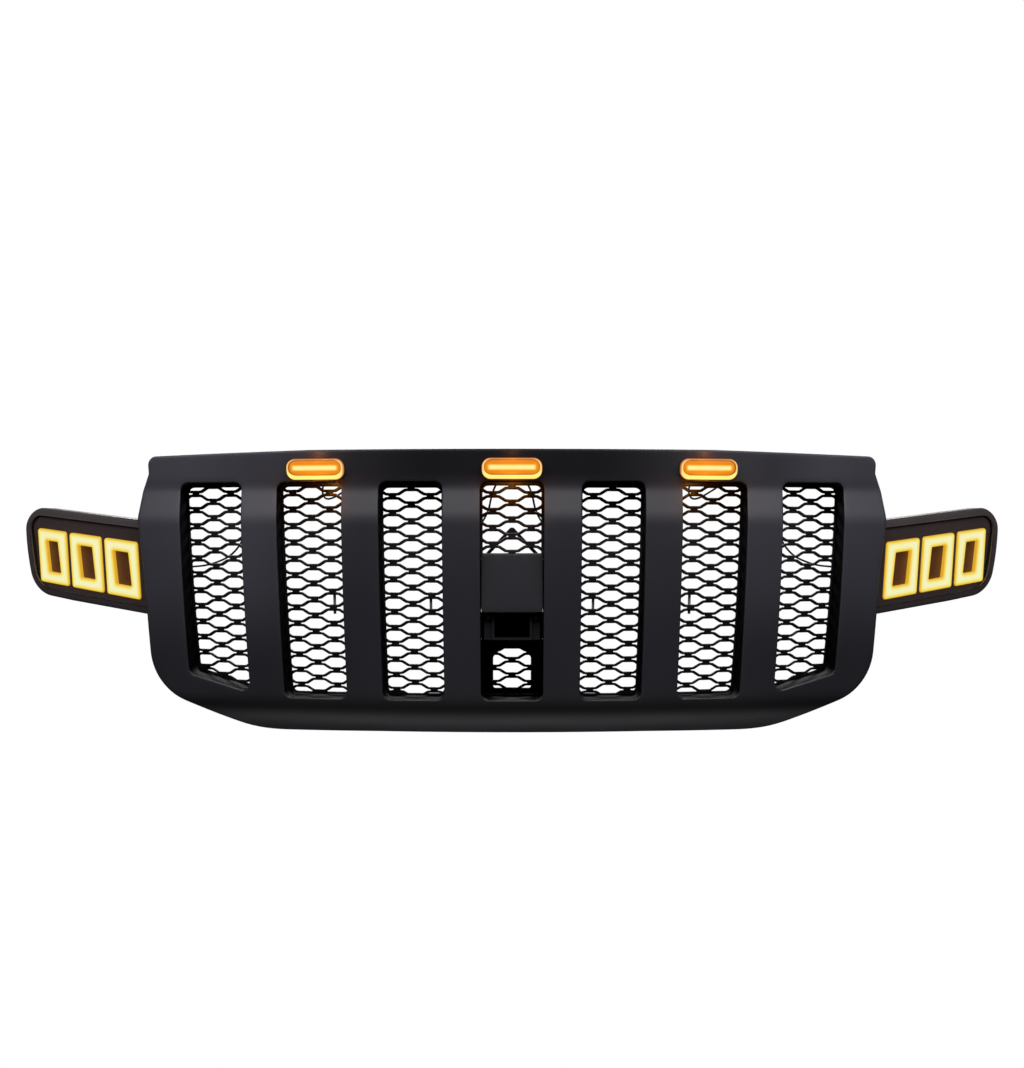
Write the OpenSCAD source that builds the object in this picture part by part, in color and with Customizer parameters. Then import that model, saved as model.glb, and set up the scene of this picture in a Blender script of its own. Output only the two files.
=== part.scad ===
// Front grille with three marker lamps along its top rail and a lit wing at each end.
// Millimetres. +Z is up, +X is to the right as seen from in front, and -Y is towards the viewer.
// The origin is midway between the two inner upper fixing holes, on the upper faces of their tabs.

/* [Face] */
// Radius of the face in plan, about a vertical axis behind the grille
crown_r = 1450; // [1200:10:1800]
// Height of the top rail, from the top edge down to the valley
rail_h = 56.5; // [50:0.5:66]
// How far the top edge stands forward of the valley
rail_overhang = 6; // [2:0.5:9]
// Height of the sloped band between the valley and the crease
band_h = 45; // [36:1:56]
// How far the valley lies behind the crease
band_recess = 15.5; // [8:0.5:19]
// Radius of the face in side view, below the crease
face_r = 950; // [800:10:1400]
// Radius of the roll under the face
roll_r = 82; // [66:1:96]
// Thickness of the moulded walls
wall = 3; // [2.4:0.1:3.6]

/* [Slots] */
// Width of the three middle slots at their tops
slot_w = 94; // [78:0.5:114]
// Width of the two outer slots on each side
outer_slot_w = 98.5; // [82:0.5:118]
// Width of the upright bars between the slots
bar_w = 55.5; // [46:0.5:68]
// Width of the side panel outside the last slot, at the crease
side_w = 68.5; // [62:0.5:84]
// Distance from the top edge down to the slots
slot_top = 47; // [46:0.5:54]
// Height of the slots
slot_h = 323.5; // [280:0.5:390]
// Height of the sill under the slots
sill_h = 57; // [50:0.5:66]
// How much the slots draw together from top to bottom, in percent
fan = 2.5; // [0:0.1:3]
// How far the last slot's lower outer corner is raised
outer_slot_rise = 33; // [20:1:40]
// Corner radius of the slots
slot_corner_r = 12; // [8:0.5:14]

/* [Mesh] */
// Depth from the crease to the seat of the mesh inserts
seat_depth = 58; // [52:1:68]
// Radius of the mesh in side view
seat_r = 900; // [800:10:1300]
// Thickness of the mesh inserts
mesh_t = 5; // [4:0.5:6]
// Distance from one cell to the next one above it
cell_pitch_z = 25; // [22:0.5:29]
// Distance from one column of cells to the next
cell_pitch_x = 28.6; // [26:0.2:33]
// Width of the mesh strands
strand_w = 4.8; // [4:0.1:5.6]
// Height of the joint where two strands meet, across both strands
joint_h = 10.4; // [9.4:0.1:11.4]
// Length of the joint where two strands meet
joint_l = 11; // [9:0.2:13]
// Width of the frame that shows inside each slot
frame_w = 3; // [2:0.5:5]
// Width of the flange that seats behind each slot
flange_w = 8; // [7:0.5:10]

/* [Badge and camera] */
// Height of the blank badge plate
badge_h = 85; // [72:1:96]
// Gap between the badge plate and the sides of the slot
badge_gap = 1.5; // [1:0.1:3]
// Depth of the badge plate's face behind the crease
badge_depth = 12; // [11:0.5:16]
// Thickness of the badge plate
badge_t = 3; // [2:0.5:4]
// Width of the camera pocket
camera_w = 52; // [44:1:60]
// Height of the camera pocket
camera_h = 36.5; // [32:0.5:40]
// Depth of the camera pocket's mouth behind the crease
camera_depth = 24; // [20:1:30]

/* [Marker lamps] */
// Width of a marker lamp
marker_w = 88; // [76:1:96]
// Height of a marker lamp
marker_h = 31; // [28:0.5:34]
// How far a marker lens stands proud of the rail
marker_proud = 10; // [8:0.5:14]
// Distance from the top edge down to the middle of the marker lamps
marker_drop = 28.5; // [26:0.5:30]
// How far the outer marker lamps stand inboard of the slot below them
marker_inset = 9.5; // [0:0.5:14]

/* [Wing lamps] */
// How much further than the body's side the wings sweep back, in degrees
wing_toe = 5.2; // [3:0.1:8]
// Length of the wing outside the body
wing_l = 250; // [210:1:290]
// Depth of the lens skirt
lens_d = 14; // [12:0.5:18]
// Thickness of the lens
lens_t = 2.5; // [2:0.1:3]
// Depth of the lamp housing behind the seal
housing_d = 21; // [18:1:26]
// Relative widths of the three light frames, from the body outwards
ring_share = [69, 67.5, 62.5];
// Gap between the light frames
ring_gap = 6; // [4:0.5:8]
// Width of a light frame's sides
ring_side = 19; // [15:0.5:21]
// Width of a light frame's top and bottom
ring_band = 18; // [15:0.5:21]

/* [Fixings] */
// Distance between the two inner upper fixing holes
upper_pitch = 400; // [360:1:440]
// Distance between the two outer upper fixing holes
outer_pitch = 880; // [820:1:900]
// Distance between the two lower fixing holes
lower_pitch = 300; // [260:1:340]
// Radius of the body's fixing holes
fixing_r = 4.25; // [3.2:0.05:5]
// Radius of the hole in each wing bracket
wing_hole_r = 3.3; // [2.7:0.05:4.2]
// Radius of the small screws' shanks
screw_r = 2; // [1.6:0.1:2.4]
// Radius of the bosses that the small screws go into
boss_r = 5; // [4.5:0.1:6]

/* [Wiring] */
// Diameter of the main loom along the rail
loom_d = 6; // [5:0.5:7]
// Diameter of the leads to the lamps
lead_d = 3; // [2.5:0.1:3.6]

/* [Hidden] */
$fn = 48;

LEFT = -1;
RIGHT = 1;
EPS = 0.01;

// Heights below the top edge, as z values.
crease_z = -(rail_h + band_h);
slot_bottom_z = -(slot_top + slot_h);
body_h = slot_top + slot_h + sill_h;

// Half widths, measured at the slots' tops.
slot_inner_x = [0, slot_w / 2 + bar_w, slot_w * 1.5 + 2 * bar_w, slot_w * 1.5 + 3 * bar_w + outer_slot_w];
slot_widths = [slot_w, slot_w, outer_slot_w, outer_slot_w];
half_w = slot_w * 1.5 + 3 * bar_w + 2 * outer_slot_w + side_w;

// The roll turns under until it is this steep, in degrees from upright.
roll_end = 80;
face_end = asin((body_h + crease_z - roll_r * sin(roll_end)) / (face_r - roll_r));
valley_fillet = 30;
crease_fillet = 60;
seat_start_z = -64.5;
back_depth = 330;
sector = asin((half_w + 25) / (crown_r - 160));

// Black, amber and other finishes.
BLACK = "#232326";
MESH_BLACK = "#1b1b1d";
AMBER = "#ff9a1a";
SMOKE = "#3a2a24";

// ---------------------------------------------------------------- outlines

function unit(v) = v / norm(v);
function turned(a) = a > 180 ? a - 360 : a < -180 ? a + 360 : a;

// The points of one corner at p, between neighbours a and b, rounded to radius r in n steps.
function corner(a, p, b, r, n) =
  let (
    u = unit(a - p),
    v = unit(b - p),
    half = acos(max(-1, min(1, u * v))) / 2,
    t = r / tan(half),
    c = p + unit(u + v) * (r / sin(half)),
    s = p + u * t - c,
    e = p + v * t - c,
    a0 = atan2(s[1], s[0]),
    sweep = turned(atan2(e[1], e[0]) - a0)
  )
  [for (i = [0:n]) c + r * [cos(a0 + sweep * i / n), sin(a0 + sweep * i / n)]];

// A closed outline of [x, y, radius] corners, each rounded to its own radius.
function rounded(pts, n = 4) =
  let (m = len(pts))
  [for (i = [0:m - 1])
    let (
      a = pts[(i + m - 1) % m],
      p = pts[i],
      b = pts[(i + 1) % m]
    )
    each (p[2] == 0
      ? [[p[0], p[1]]]
      : corner([a[0], a[1]], [p[0], p[1]], [b[0], b[1]], p[2], n))];

function reversed(list) = [for (i = [len(list) - 1:-1:0]) list[i]];
function mirrored(pts) = concat(pts, [for (p = reversed(pts)) [-p[0], p[1], p[2]]]);

// The bottom edge rises a little at the middle, and the top edge falls away at each corner.
sill_arch = 3;
sill_z = -body_h + sill_arch;
top_fall = 6;
top_slope_l = 273;

// The body's outline as seen from in front.
module body_2d() {
  right = [
    [half_w - top_slope_l, 0, 0],
    [half_w - 14, -top_fall, 14],
    [half_w - 15.5, -32, 8],
    [half_w - 5.5, -rail_h - 1.5, 30],
    [half_w, crease_z, 20],
    [half_w - 11, crease_z - 84.5, 300],
    [half_w - 18.5, -body_h + 66.5, 84],
    [half_w - 191, -body_h, 190],
    [half_w - 373, sill_z, 0]
  ];
  polygon(rounded(mirrored(right), 5));
}

// How far a slot's edge draws in at height z.
function fanned(x, z) = x * (1 - fan / 100 * (-slot_top - z) / slot_h);
function slot_edge(i, out) = i == 0 ? out * slot_w / 2
  : out > 0 ? slot_outer(i) : slot_outer(i) - slot_widths[i];
function slot_outer(i) = slot_w / 2 + i * bar_w
  + (i > 0 ? slot_w : 0) + (i > 1 ? (i - 1) * outer_slot_w : 0);
function slot_mid(i, z) = fanned((slot_edge(i, 1) + slot_edge(i, -1)) / 2, z);

// Slot i, counted outwards from the middle one, on the right-hand side.
module slot_2d(i) {
  rise_out = i == 3 ? outer_slot_rise : 0;
  rise_in = i == 3 ? outer_slot_rise / 6 : 0;
  zo = slot_bottom_z + rise_out;
  zi = slot_bottom_z + rise_in;
  polygon(rounded([
    [slot_edge(i, -1), -slot_top, slot_corner_r],
    [fanned(slot_edge(i, -1), zi), zi, slot_corner_r],
    [fanned(slot_edge(i, 1), zo), zo, slot_corner_r],
    [slot_edge(i, 1), -slot_top, slot_corner_r]
  ]));
}

module on_side(side) {
  if (side == LEFT) mirror([1, 0, 0]) children();
  else children();
}

module both_sides() {
  children();
  mirror([1, 0, 0]) children();
}

module all_slots_2d() {
  slot_2d(0);
  for (side = [LEFT, RIGHT], i = [1:3]) on_side(side) slot_2d(i);
}

// Turns a drawing in X and Z into a prism along Y, from y0 to y1.
module along_y(y0, y1) {
  translate([0, y1, 0]) rotate([90, 0, 0]) linear_extrude(y1 - y0) children();
}

// ---------------------------------------------------------------- curved surfaces

// The face in side view, as [depth, z], from above the top edge to below the bottom edge.
lead_in = 12;
face_steps = 9;
roll_steps = 7;
top_depth = band_recess - rail_overhang * (rail_h + lead_in) / rail_h;
function on_face(a) = [face_r * (1 - cos(a)), crease_z - face_r * sin(a)];
roll_centre = [face_r - (face_r - roll_r) * cos(face_end), crease_z - (face_r - roll_r) * sin(face_end)];
front_line = concat(
  [[top_depth, lead_in]],
  corner([top_depth, lead_in], [band_recess, -rail_h], [0, crease_z], valley_fillet, 4),
  corner([band_recess, -rail_h], [0, crease_z], on_face(2), crease_fillet, 4),
  [for (i = [2:face_steps]) on_face(face_end * i / face_steps)],
  [for (i = [1:roll_steps])
    let (a = face_end + (90 - face_end) * i / roll_steps)
    roll_centre - roll_r * [cos(a), sin(a)]]
);

// The seat of the mesh in side view: upright above, then leaning back along an arc.
function seat_line_depth(z) = z > seat_start_z ? seat_depth
  : seat_depth + seat_r - sqrt(seat_r * seat_r - pow(seat_start_z - z, 2));
seat_steps = 12;
function seat_line(extra) = [for (i = [0:seat_steps + 1])
  let (z = i == 0 ? lead_in : seat_start_z - (body_h + lead_in + seat_start_z) * (i - 1) / seat_steps)
  [seat_line_depth(z) + extra, z]];

// Depth of a surface at x, when its depth on the centre line is d.
function crowned(x, d) = crown_r - sqrt(pow(crown_r - d, 2) - x * x);
function seat_y(x, z) = crowned(x, seat_line_depth(z));

// Revolves a drawing of [depth, z] points about the crown's axis.
module revolved(pts, grow = 0) {
  translate([0, crown_r, 0])
    rotate([0, 0, -90 - sector])
      rotate_extrude(angle = 2 * sector, $fn = 480)
        offset(delta = grow)
          polygon([for (p = pts) [crown_r - p[0], p[1]]]);
}

// A plain version with no offset, which keeps every face exact.
module revolved_exact(pts) {
  translate([0, crown_r, 0])
    rotate([0, 0, -90 - sector])
      rotate_extrude(angle = 2 * sector, $fn = 480)
        polygon([for (p = pts) [crown_r - p[0], p[1]]]);
}

// Everything from the face back to the seat of the mesh.
module thick_body() {
  revolved_exact(concat(front_line, reversed(seat_line(0))));
}

// Everything behind the inside of the moulded wall.
module behind_wall() {
  low = front_line[len(front_line) - 1];
  revolved(concat(front_line, [[back_depth, low[1]], [back_depth, lead_in]]), -wall);
}

// A layer that follows the seat, from d0 to d1 behind it.
module seat_layer(d0, d1) {
  revolved_exact(concat(seat_line(d0), reversed(seat_line(d1))));
}

// Everything from the crease to d behind the seat.
module in_front_of(d) {
  revolved_exact(concat([[0, lead_in], [0, -body_h]], reversed(seat_line(d))));
}

// ---------------------------------------------------------------- screw places

boss_gap = 7;
level_high = -84.5;
badge_top_z = -153.5;
badge_bottom_z = badge_top_z - badge_h;
camera_top_z = badge_bottom_z - 2;
camera_bottom_z = camera_top_z - camera_h;
centre_levels = [
  -70,
  badge_top_z + 28.5,
  badge_top_z - 18.5,
  badge_bottom_z + 16.5,
  camera_bottom_z + 20,
  camera_bottom_z - 21,
  slot_bottom_z + 28.5
];
level_low = -(slot_top + slot_h * 0.82);

// The [x, z] places of the small screws beside slot i, on the right-hand side.
function slot_screws(i) = [for (z = [level_high, level_low], out = [-1, 1])
  [fanned(slot_edge(i, out), z) + out * boss_gap, z]];
function centre_screw(z) = [fanned(slot_w / 2, z) + boss_gap, z];
right_screws = concat(
  [for (i = [1:3]) each slot_screws(i)],
  [for (z = centre_levels) centre_screw(z)]
);

// ---------------------------------------------------------------- bezel

tab_t = 3;
tab_w = 34;
upper_fixing_y = 95;
outer_fixing_y = crowned(outer_pitch / 2, 72);
lower_fixing_y = crowned(lower_pitch / 2, 124);
tab_reach = 14;
outer_tab_drop = top_fall * (outer_pitch / 2 - half_w + top_slope_l) / (top_slope_l - 14) + 0.4;
marker_x = (slot_edge(2, 1) + slot_edge(2, -1)) / 2 - marker_inset;
marker_angle = asin(marker_x / crown_r);
rail_tilt = atan(rail_overhang / rail_h);
marker_back_w = 64;
marker_back_h = 18;
fit = 0.5;

// Moves everything so that the origin is at the upper fixings.
module placed() {
  translate([0, -upper_fixing_y, 0]) children();
}

module boss_circles_2d() {
  for (p = right_screws) {
    translate(p) circle(r = boss_r);
    translate([-p[0], p[1]]) circle(r = boss_r);
  }
}

module pocket_2d() {
  difference() {
    offset(delta = -wall) body_2d();
    offset(delta = wall) all_slots_2d();
    boss_circles_2d();
    // upright ribs down the middle of each bar
    for (side = [-1, 1], i = [0:2])
      translate([side * (slot_outer(i) + bar_w / 2) - 1, -body_h]) square([2, slot_h + sill_h - 4]);
  }
}

module tab(x, y_hole, z_top, y_start) {
  translate([x - tab_w / 2, y_start, z_top - tab_t])
    cube([tab_w, y_hole + tab_reach - y_start, tab_t]);
}

module fixing_tabs() {
  for (side = [-1, 1]) {
    tab(side * upper_pitch / 2, upper_fixing_y, 0, crowned(upper_pitch / 2, 40));
    tab(side * outer_pitch / 2, outer_fixing_y, -outer_tab_drop, crowned(outer_pitch / 2, 22));
    tab(side * lower_pitch / 2, lower_fixing_y, sill_z + tab_t, crowned(lower_pitch / 2, 106));
  }
}

module fixing_holes(r) {
  for (side = [-1, 1]) {
    translate([side * upper_pitch / 2, upper_fixing_y, -20]) cylinder(r = r, h = 30);
    translate([side * outer_pitch / 2, outer_fixing_y, -outer_tab_drop - 20]) cylinder(r = r, h = 30);
    translate([side * lower_pitch / 2, lower_fixing_y, -body_h - 10]) cylinder(r = r, h = 30);
  }
}

module screw_hole(p, depth) {
  y = seat_y(abs(p[0]), p[1]);
  translate([p[0], y + 4, p[1]]) rotate([90, 0, 0]) cylinder(r = screw_r + 0.05, h = depth + 4);
}

boss_hole_depth = 14;

module bezel() {
  color(BLACK) placed() difference() {
    union() {
      difference() {
        intersection() {
          thick_body();
          along_y(-20, back_depth) body_2d();
        }
        intersection() {
          along_y(-20, back_depth) pocket_2d();
          behind_wall();
        }
        intersection() {
          both_sides() in_wing() wing_slab(-5, 60, 3);
          behind_wall();
        }
      }
      fixing_tabs();
      intersection() {
        both_sides() in_wing() wing_bosses();
        thick_body();
      }
    }
    along_y(-20, back_depth) all_slots_2d();
    for (a = [-marker_angle, 0, marker_angle]) at_marker(a)
      translate([0, 30, 0]) rotate([90, 0, 0])
        linear_extrude(60) pill_2d(marker_back_w + 2 * fit, marker_back_h + 2 * fit, 5);
    for (p = right_screws) both_sides() screw_hole(p, boss_hole_depth);
    both_sides() in_wing() wing_screw_holes();
    fixing_holes(fixing_r);
  }
}

// ---------------------------------------------------------------- mesh inserts

// Heights of the rows, closer together further down where the mesh leans back.
function row_z(k, first) = first - seat_r * sin(k * cell_pitch_z / seat_r * 180 / PI);
row_first = -62.5;
row_rise = [-3, -5.5, 0, 0];
lower_rise = 6.5;
mesh_shift = [0, 1.4, 3, 6];
// Solid band left along the top of each slot's insert.
mesh_head = [2.5, 5.5, 3, 3];

// One opening: a long hexagon whose tips run on as slits towards the joints.
module cell_2d() {
  flat = 8.2;
  tip = cell_pitch_x - joint_l / 2;
  high = (cell_pitch_z - joint_h) / 2;
  slit = 0.6;
  // the slope that leaves a strand of width strand_w between neighbouring cells
  a = cell_pitch_z / 2 - 2 * high;
  b = cell_pitch_x - 2 * flat;
  root = sqrt(a * a * b * b - (b * b - strand_w * strand_w) * (a * a - strand_w * strand_w));
  slope = (root - a * b) / (b * b - strand_w * strand_w);
  knee = flat + (high - 2 * slit) / slope;
  quarter = [[tip, slit], [knee, 2 * slit], [flat, high]];
  top = concat(quarter, [for (p = reversed(quarter)) [-p[0], p[1]]]);
  polygon(concat(top, [for (p = reversed(top)) [p[0], -p[1]]]));
}

module cells_2d(i, rise) {
  first = row_first + rise;
  rows = ceil(slot_h / cell_pitch_z) + 2;
  for (col = [-2:2], k = [-1:rows]) {
    z = row_z(k + (col % 2 == 0 ? 0 : 0.5), first);
    if (z < -slot_top + cell_pitch_z && z > slot_bottom_z - cell_pitch_z)
      translate([slot_mid(i, z) + mesh_shift[i] + col * cell_pitch_x, z]) cell_2d();
  }
}

// The insert behind slot i between two heights, with its flange, cells and screw ears.
module mesh_insert(i, screws, rise, z_high = 0, z_low = -1000) {
  pad_h = 3;
  module span_2d() {
    translate([-slot_w, z_low]) square([half_w + slot_w, z_high - z_low]);
  }
  placed() difference() {
    union() {
      intersection() {
        seat_layer(0, mesh_t);
        along_y(0, back_depth) difference() {
          intersection() {
            union() {
              offset(delta = flange_w) slot_2d(i);
              for (p = screws) translate(p) circle(r = boss_r + 1.5);
            }
            union() {
              span_2d();
              for (p = screws) translate(p) circle(r = boss_r + 1.5);
            }
          }
          intersection() {
            cells_2d(i, rise);
            offset(delta = -frame_w) slot_2d(i);
            translate([0, -mesh_head[i]]) offset(delta = -frame_w) slot_2d(i);
            offset(delta = -frame_w) span_2d();
          }
        }
      }
      for (p = screws) translate([p[0], seat_y(abs(p[0]), p[1]) + 2.3, p[1]])
        rotate([-90, 0, 0]) cylinder(r = boss_r, h = mesh_t + pad_h - 2.3);
    }
    for (p = screws) translate([p[0], seat_y(abs(p[0]), p[1]) - 10, p[1]])
      rotate([-90, 0, 0]) cylinder(r = screw_r + 0.3, h = 30);
  }
}

module side_mesh(side, i) {
  color(MESH_BLACK) on_side(side) mesh_insert(i, slot_screws(i), row_rise[i]);
}

function centre_pair(z) = [for (s = [-1, 1]) [s * centre_screw(z)[0], z]];

module mesh_centre_upper() {
  color(MESH_BLACK)
    mesh_insert(0, concat(centre_pair(centre_levels[0]), centre_pair(centre_levels[1])),
      row_rise[0], 0, badge_top_z - 2.5);
}

module mesh_centre_lower() {
  color(MESH_BLACK)
    mesh_insert(0, concat(centre_pair(centre_levels[5]), centre_pair(centre_levels[6])),
      lower_rise, camera_bottom_z - 6, -1000);
}

// A small pan-head screw at [x, z], its head seated d behind the seat.
module small_screw(p, d) {
  y = seat_y(abs(p[0]), p[1]);
  translate([p[0], y + d, p[1]]) rotate([90, 0, 0]) {
    cylinder(r = screw_r, h = d + boss_hole_depth - 1);
    translate([0, 0, -2.6]) cylinder(r = screw_r * 2, h = 2.6);
  }
}

module mesh_screws() {
  color("#8a8d92") placed() for (p = right_screws) both_sides() small_screw(p, mesh_t + 3);
}

// The two short screws that hold the brace to the badge carrier.
module brace_screws() {
  color("#8a8d92") placed() for (side = [-1, 1])
    translate([side * brace_screw[0], brace_depth + 3, brace_screw[1]]) rotate([90, 0, 0]) {
      cylinder(r = screw_r, h = 8);
      translate([0, 0, -2.6]) cylinder(r = screw_r * 2, h = 2.6);
    }
}

// Small nylon clips on the back of the inner inserts, at mid height.
clip_w = 4;
clip_h = 34;
clip_z = -229;
clip_in = 21;

module mesh_clip(i) {
  x = fanned(slot_edge(i, -1), clip_z) + clip_in;
  intersection() {
    seat_layer(mesh_t, mesh_t + 4);
    along_y(0, back_depth) translate([x - clip_w / 2, clip_z - clip_h / 2]) square([clip_w, clip_h]);
  }
}

module mesh_clips() {
  color("#d9d7cf") placed() for (i = [1, 2]) both_sides() mesh_clip(i);
}

// ---------------------------------------------------------------- badge and camera

module badge_plate() {
  w = 2 * (fanned(slot_w / 2, badge_bottom_z) - badge_gap);
  color(BLACK) placed() difference() {
    along_y(badge_depth, badge_depth + badge_t)
      polygon(rounded([
        [-w / 2, badge_bottom_z, 2],
        [w / 2, badge_bottom_z, 2],
        [w / 2, badge_top_z, 2],
        [-w / 2, badge_top_z, 2]
      ]));
    for (side = [-1, 1], z = [badge_top_z - 14, badge_bottom_z + 14])
      translate([side * 30, badge_depth + badge_t + 1, z]) rotate([90, 0, 0])
        cylinder(r = 1.6, h = 2.6);
  }
}

module centre_ears_2d(levels) {
  for (z = levels, p = centre_pair(z)) translate(p) circle(r = boss_r + 1.5);
}

// The box that carries the badge plate, with ears on the bosses beside it.
module badge_carrier() {
  levels = [centre_levels[2], centre_levels[3]];
  w = 2 * (fanned(slot_w / 2, badge_bottom_z) - badge_gap) - 8;
  inside = 2.5;
  h = badge_h - 8;
  mid = (badge_top_z + badge_bottom_z) / 2;
  front = badge_depth + badge_t;
  carrier_low_z = camera_top_z + camera_wall + 0.5;
  color(BLACK) placed() difference() {
    union() {
      intersection() {
        seat_layer(0, mesh_t);
        along_y(0, back_depth) union() {
          translate([-slot_w / 2 - 8, carrier_low_z])
            square([slot_w + 16, badge_top_z - 4 - carrier_low_z]);
          centre_ears_2d(levels);
        }
      }
      intersection() {
        translate([-w / 2, front, mid - h / 2]) cube([w, 100, h]);
        in_front_of(mesh_t);
      }
      for (z = levels, p = centre_pair(z)) translate([p[0], seat_y(abs(p[0]), p[1]) + 2.3, p[1]])
        rotate([-90, 0, 0]) cylinder(r = boss_r, h = mesh_t + 0.7);
    }
    translate([-w / 2 + inside, front + inside, mid - h / 2 + inside])
      cube([w - 2 * inside, 120, h - 2 * inside]);
    for (side = [-1, 1]) translate([side * brace_screw[0], 90, brace_screw[1]])
      rotate([90, 0, 0]) cylinder(r = screw_r + 0.05, h = 60);
    for (z = levels, p = centre_pair(z)) translate([p[0], seat_y(abs(p[0]), p[1]) - 10, p[1]])
      rotate([-90, 0, 0]) cylinder(r = screw_r + 0.3, h = 30);
  }
}

brace_screw = [slot_w / 2 - 2, badge_top_z - 8.5];
brace_depth = seat_y(brace_screw[0] + 5, badge_top_z - 14) + mesh_t + 0.05;

// The A-shaped brace behind the upper mesh.
module badge_brace() {
  apex_z = badge_top_z + 38.5;
  foot_x = slot_w / 2 - 9;
  leg_w = 7;
  base_z = badge_top_z - 1;
  lean = foot_x / (apex_z - base_z);
  gusset = 11;
  color(MESH_BLACK) placed() along_y(brace_depth, brace_depth + 3) difference() {
    polygon([
      [-2.5, apex_z],
      [2.5, apex_z],
      [foot_x + 2.5, base_z],
      [brace_screw[0] + 5, base_z],
      [brace_screw[0] + 5, base_z - 13],
      [-brace_screw[0] - 5, base_z - 13],
      [-brace_screw[0] - 5, base_z],
      [-foot_x - 2.5, base_z]
    ]);
    for (side = [-1, 1]) translate([side * brace_screw[0], brace_screw[1]]) circle(r = screw_r + 0.3);
    polygon([
      [2.5 + gusset * lean - leg_w, apex_z - gusset],
      [foot_x + 2.5 - leg_w, base_z],
      [leg_w - foot_x - 2.5, base_z],
      [leg_w - 2.5 - gusset * lean, apex_z - gusset]
    ]);
  }
}

camera_wall = 3;
camera_ear_x = slot_w / 2 - 6;
camera_screw = [(camera_w / 2 + camera_wall + camera_ear_x) / 2 - 0.5, camera_top_z - 7];

// The two small screws in the camera bracket's ears.
module camera_screws() {
  color("#8a8d92") placed() for (side = [-1, 1])
    translate([side * camera_screw[0], camera_depth + 4, camera_screw[1]]) rotate([-90, 0, 0]) {
      cylinder(r = screw_r, h = 7);
      translate([0, 0, -2.4]) cylinder(r = screw_r * 1.7, h = 2.4);
    }
}

// The arched window in the frame behind the lower mesh.
module arch_window_2d() {
  half = camera_w / 2 + 2.5;
  polygon(rounded([
    [-half, slot_bottom_z + 11.5, 3],
    [half, slot_bottom_z + 11.5, 3],
    [half, camera_bottom_z - 33, 6],
    [half - 13, camera_bottom_z - 21, 12],
    [13 - half, camera_bottom_z - 21, 12],
    [-half, camera_bottom_z - 33, 6]
  ]));
}

// The box that takes the front camera, with ears and a frame behind the lower mesh.
module camera_bracket() {
  level = centre_levels[4];
  back_frame_x = slot_w / 2 - 1;
  mid = (camera_top_z + camera_bottom_z) / 2;
  ow = camera_w + 2 * camera_wall;
  oh = camera_h + 2 * camera_wall;
  leg_d = mesh_t + 0.5;
  color(MESH_BLACK) placed() difference() {
    union() {
      intersection() {
        seat_layer(0, leg_d + 3);
        along_y(0, back_depth) union() {
          translate([-slot_w / 2 - 6, camera_bottom_z - 5]) square([slot_w + 12, camera_h + 4]);
          centre_ears_2d([level]);
        }
      }
      intersection() {
        seat_layer(leg_d, leg_d + 3);
        along_y(0, back_depth) difference() {
          translate([-back_frame_x, slot_bottom_z - 2])
            square([2 * back_frame_x, camera_bottom_z - slot_bottom_z]);
          arch_window_2d();
        }
      }
      intersection() {
        translate([-ow / 2, camera_depth, mid - oh / 2]) cube([ow, 100, oh]);
        in_front_of(leg_d + 3);
      }
      translate([-camera_ear_x, camera_depth + 4, camera_bottom_z - camera_wall])
        cube([2 * camera_ear_x, 3, oh - 4]);
      for (p = centre_pair(level)) translate([p[0], seat_y(abs(p[0]), p[1]) + 2.3, p[1]])
        rotate([-90, 0, 0]) cylinder(r = boss_r, h = mesh_t + 0.7);
    }
    intersection() {
      translate([-camera_w / 2, camera_depth - 1, camera_bottom_z]) cube([camera_w, 140, camera_h]);
      in_front_of(leg_d);
    }
    for (side = [-1, 1]) translate([side * camera_screw[0], camera_depth, camera_screw[1]])
      rotate([-90, 0, 0]) cylinder(r = screw_r + 0.05, h = 20);
    for (p = centre_pair(level)) {
      translate([p[0], seat_y(abs(p[0]), p[1]) - 10, p[1]])
        rotate([-90, 0, 0]) cylinder(r = screw_r + 0.3, h = 30);
      translate([p[0], seat_y(abs(p[0]), p[1]) + mesh_t + 3, p[1]])
        rotate([-90, 0, 0]) cylinder(r = boss_r + 2, h = 30);
    }
  }
}

// ---------------------------------------------------------------- marker lamps

// A flat-topped outline with rounded ends.
module pill_2d(w, h, r) {
  polygon(rounded([
    [-w / 2, -h / 2, r],
    [w / 2, -h / 2, r],
    [w / 2, h / 2, r],
    [-w / 2, h / 2, r]
  ], 6));
}

rail_mid_depth = band_recess - rail_overhang * (rail_h - marker_drop) / rail_h;

// The frame of a marker lamp: its back face on the rail, -Y outwards, turned a about the crown.
module at_marker(a) {
  translate([0, crown_r, 0]) rotate([0, 0, a]) translate([0, -crown_r, 0])
    translate([0, rail_mid_depth, -marker_drop])
      rotate([rail_tilt, 0, 0])
        children();
}

marker_corner_r = 13;
marker_gasket_t = 1.2;
marker_flange_t = 2;
marker_lens_t = 1.8;
marker_back_d = 24;

module marker_prism(y0, y1, inset) {
  along_y(y0, y1) pill_2d(marker_w - 2 * inset, marker_h - 2 * inset, marker_corner_r - inset);
}

module marker_gasket(a) {
  color("#101010") placed() at_marker(a) difference() {
    marker_prism(-marker_gasket_t, 0, 1);
    along_y(-5, 5) pill_2d(marker_back_w + 1, marker_back_h + 1, 4);
  }
}

module marker_housing(a) {
  front = -marker_gasket_t - marker_flange_t;
  color("#151517") placed() at_marker(a) difference() {
    union() {
      marker_prism(front, -marker_gasket_t, 0);
      along_y(front, marker_back_d) pill_2d(marker_back_w, marker_back_h, 4);
      translate([-9, marker_back_d, -5]) cube([18, 7, 10]);
    }
    along_y(front - 1, marker_back_d - 2) pill_2d(marker_back_w - 4, marker_back_h - 4, 2.5);
  }
}

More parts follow.
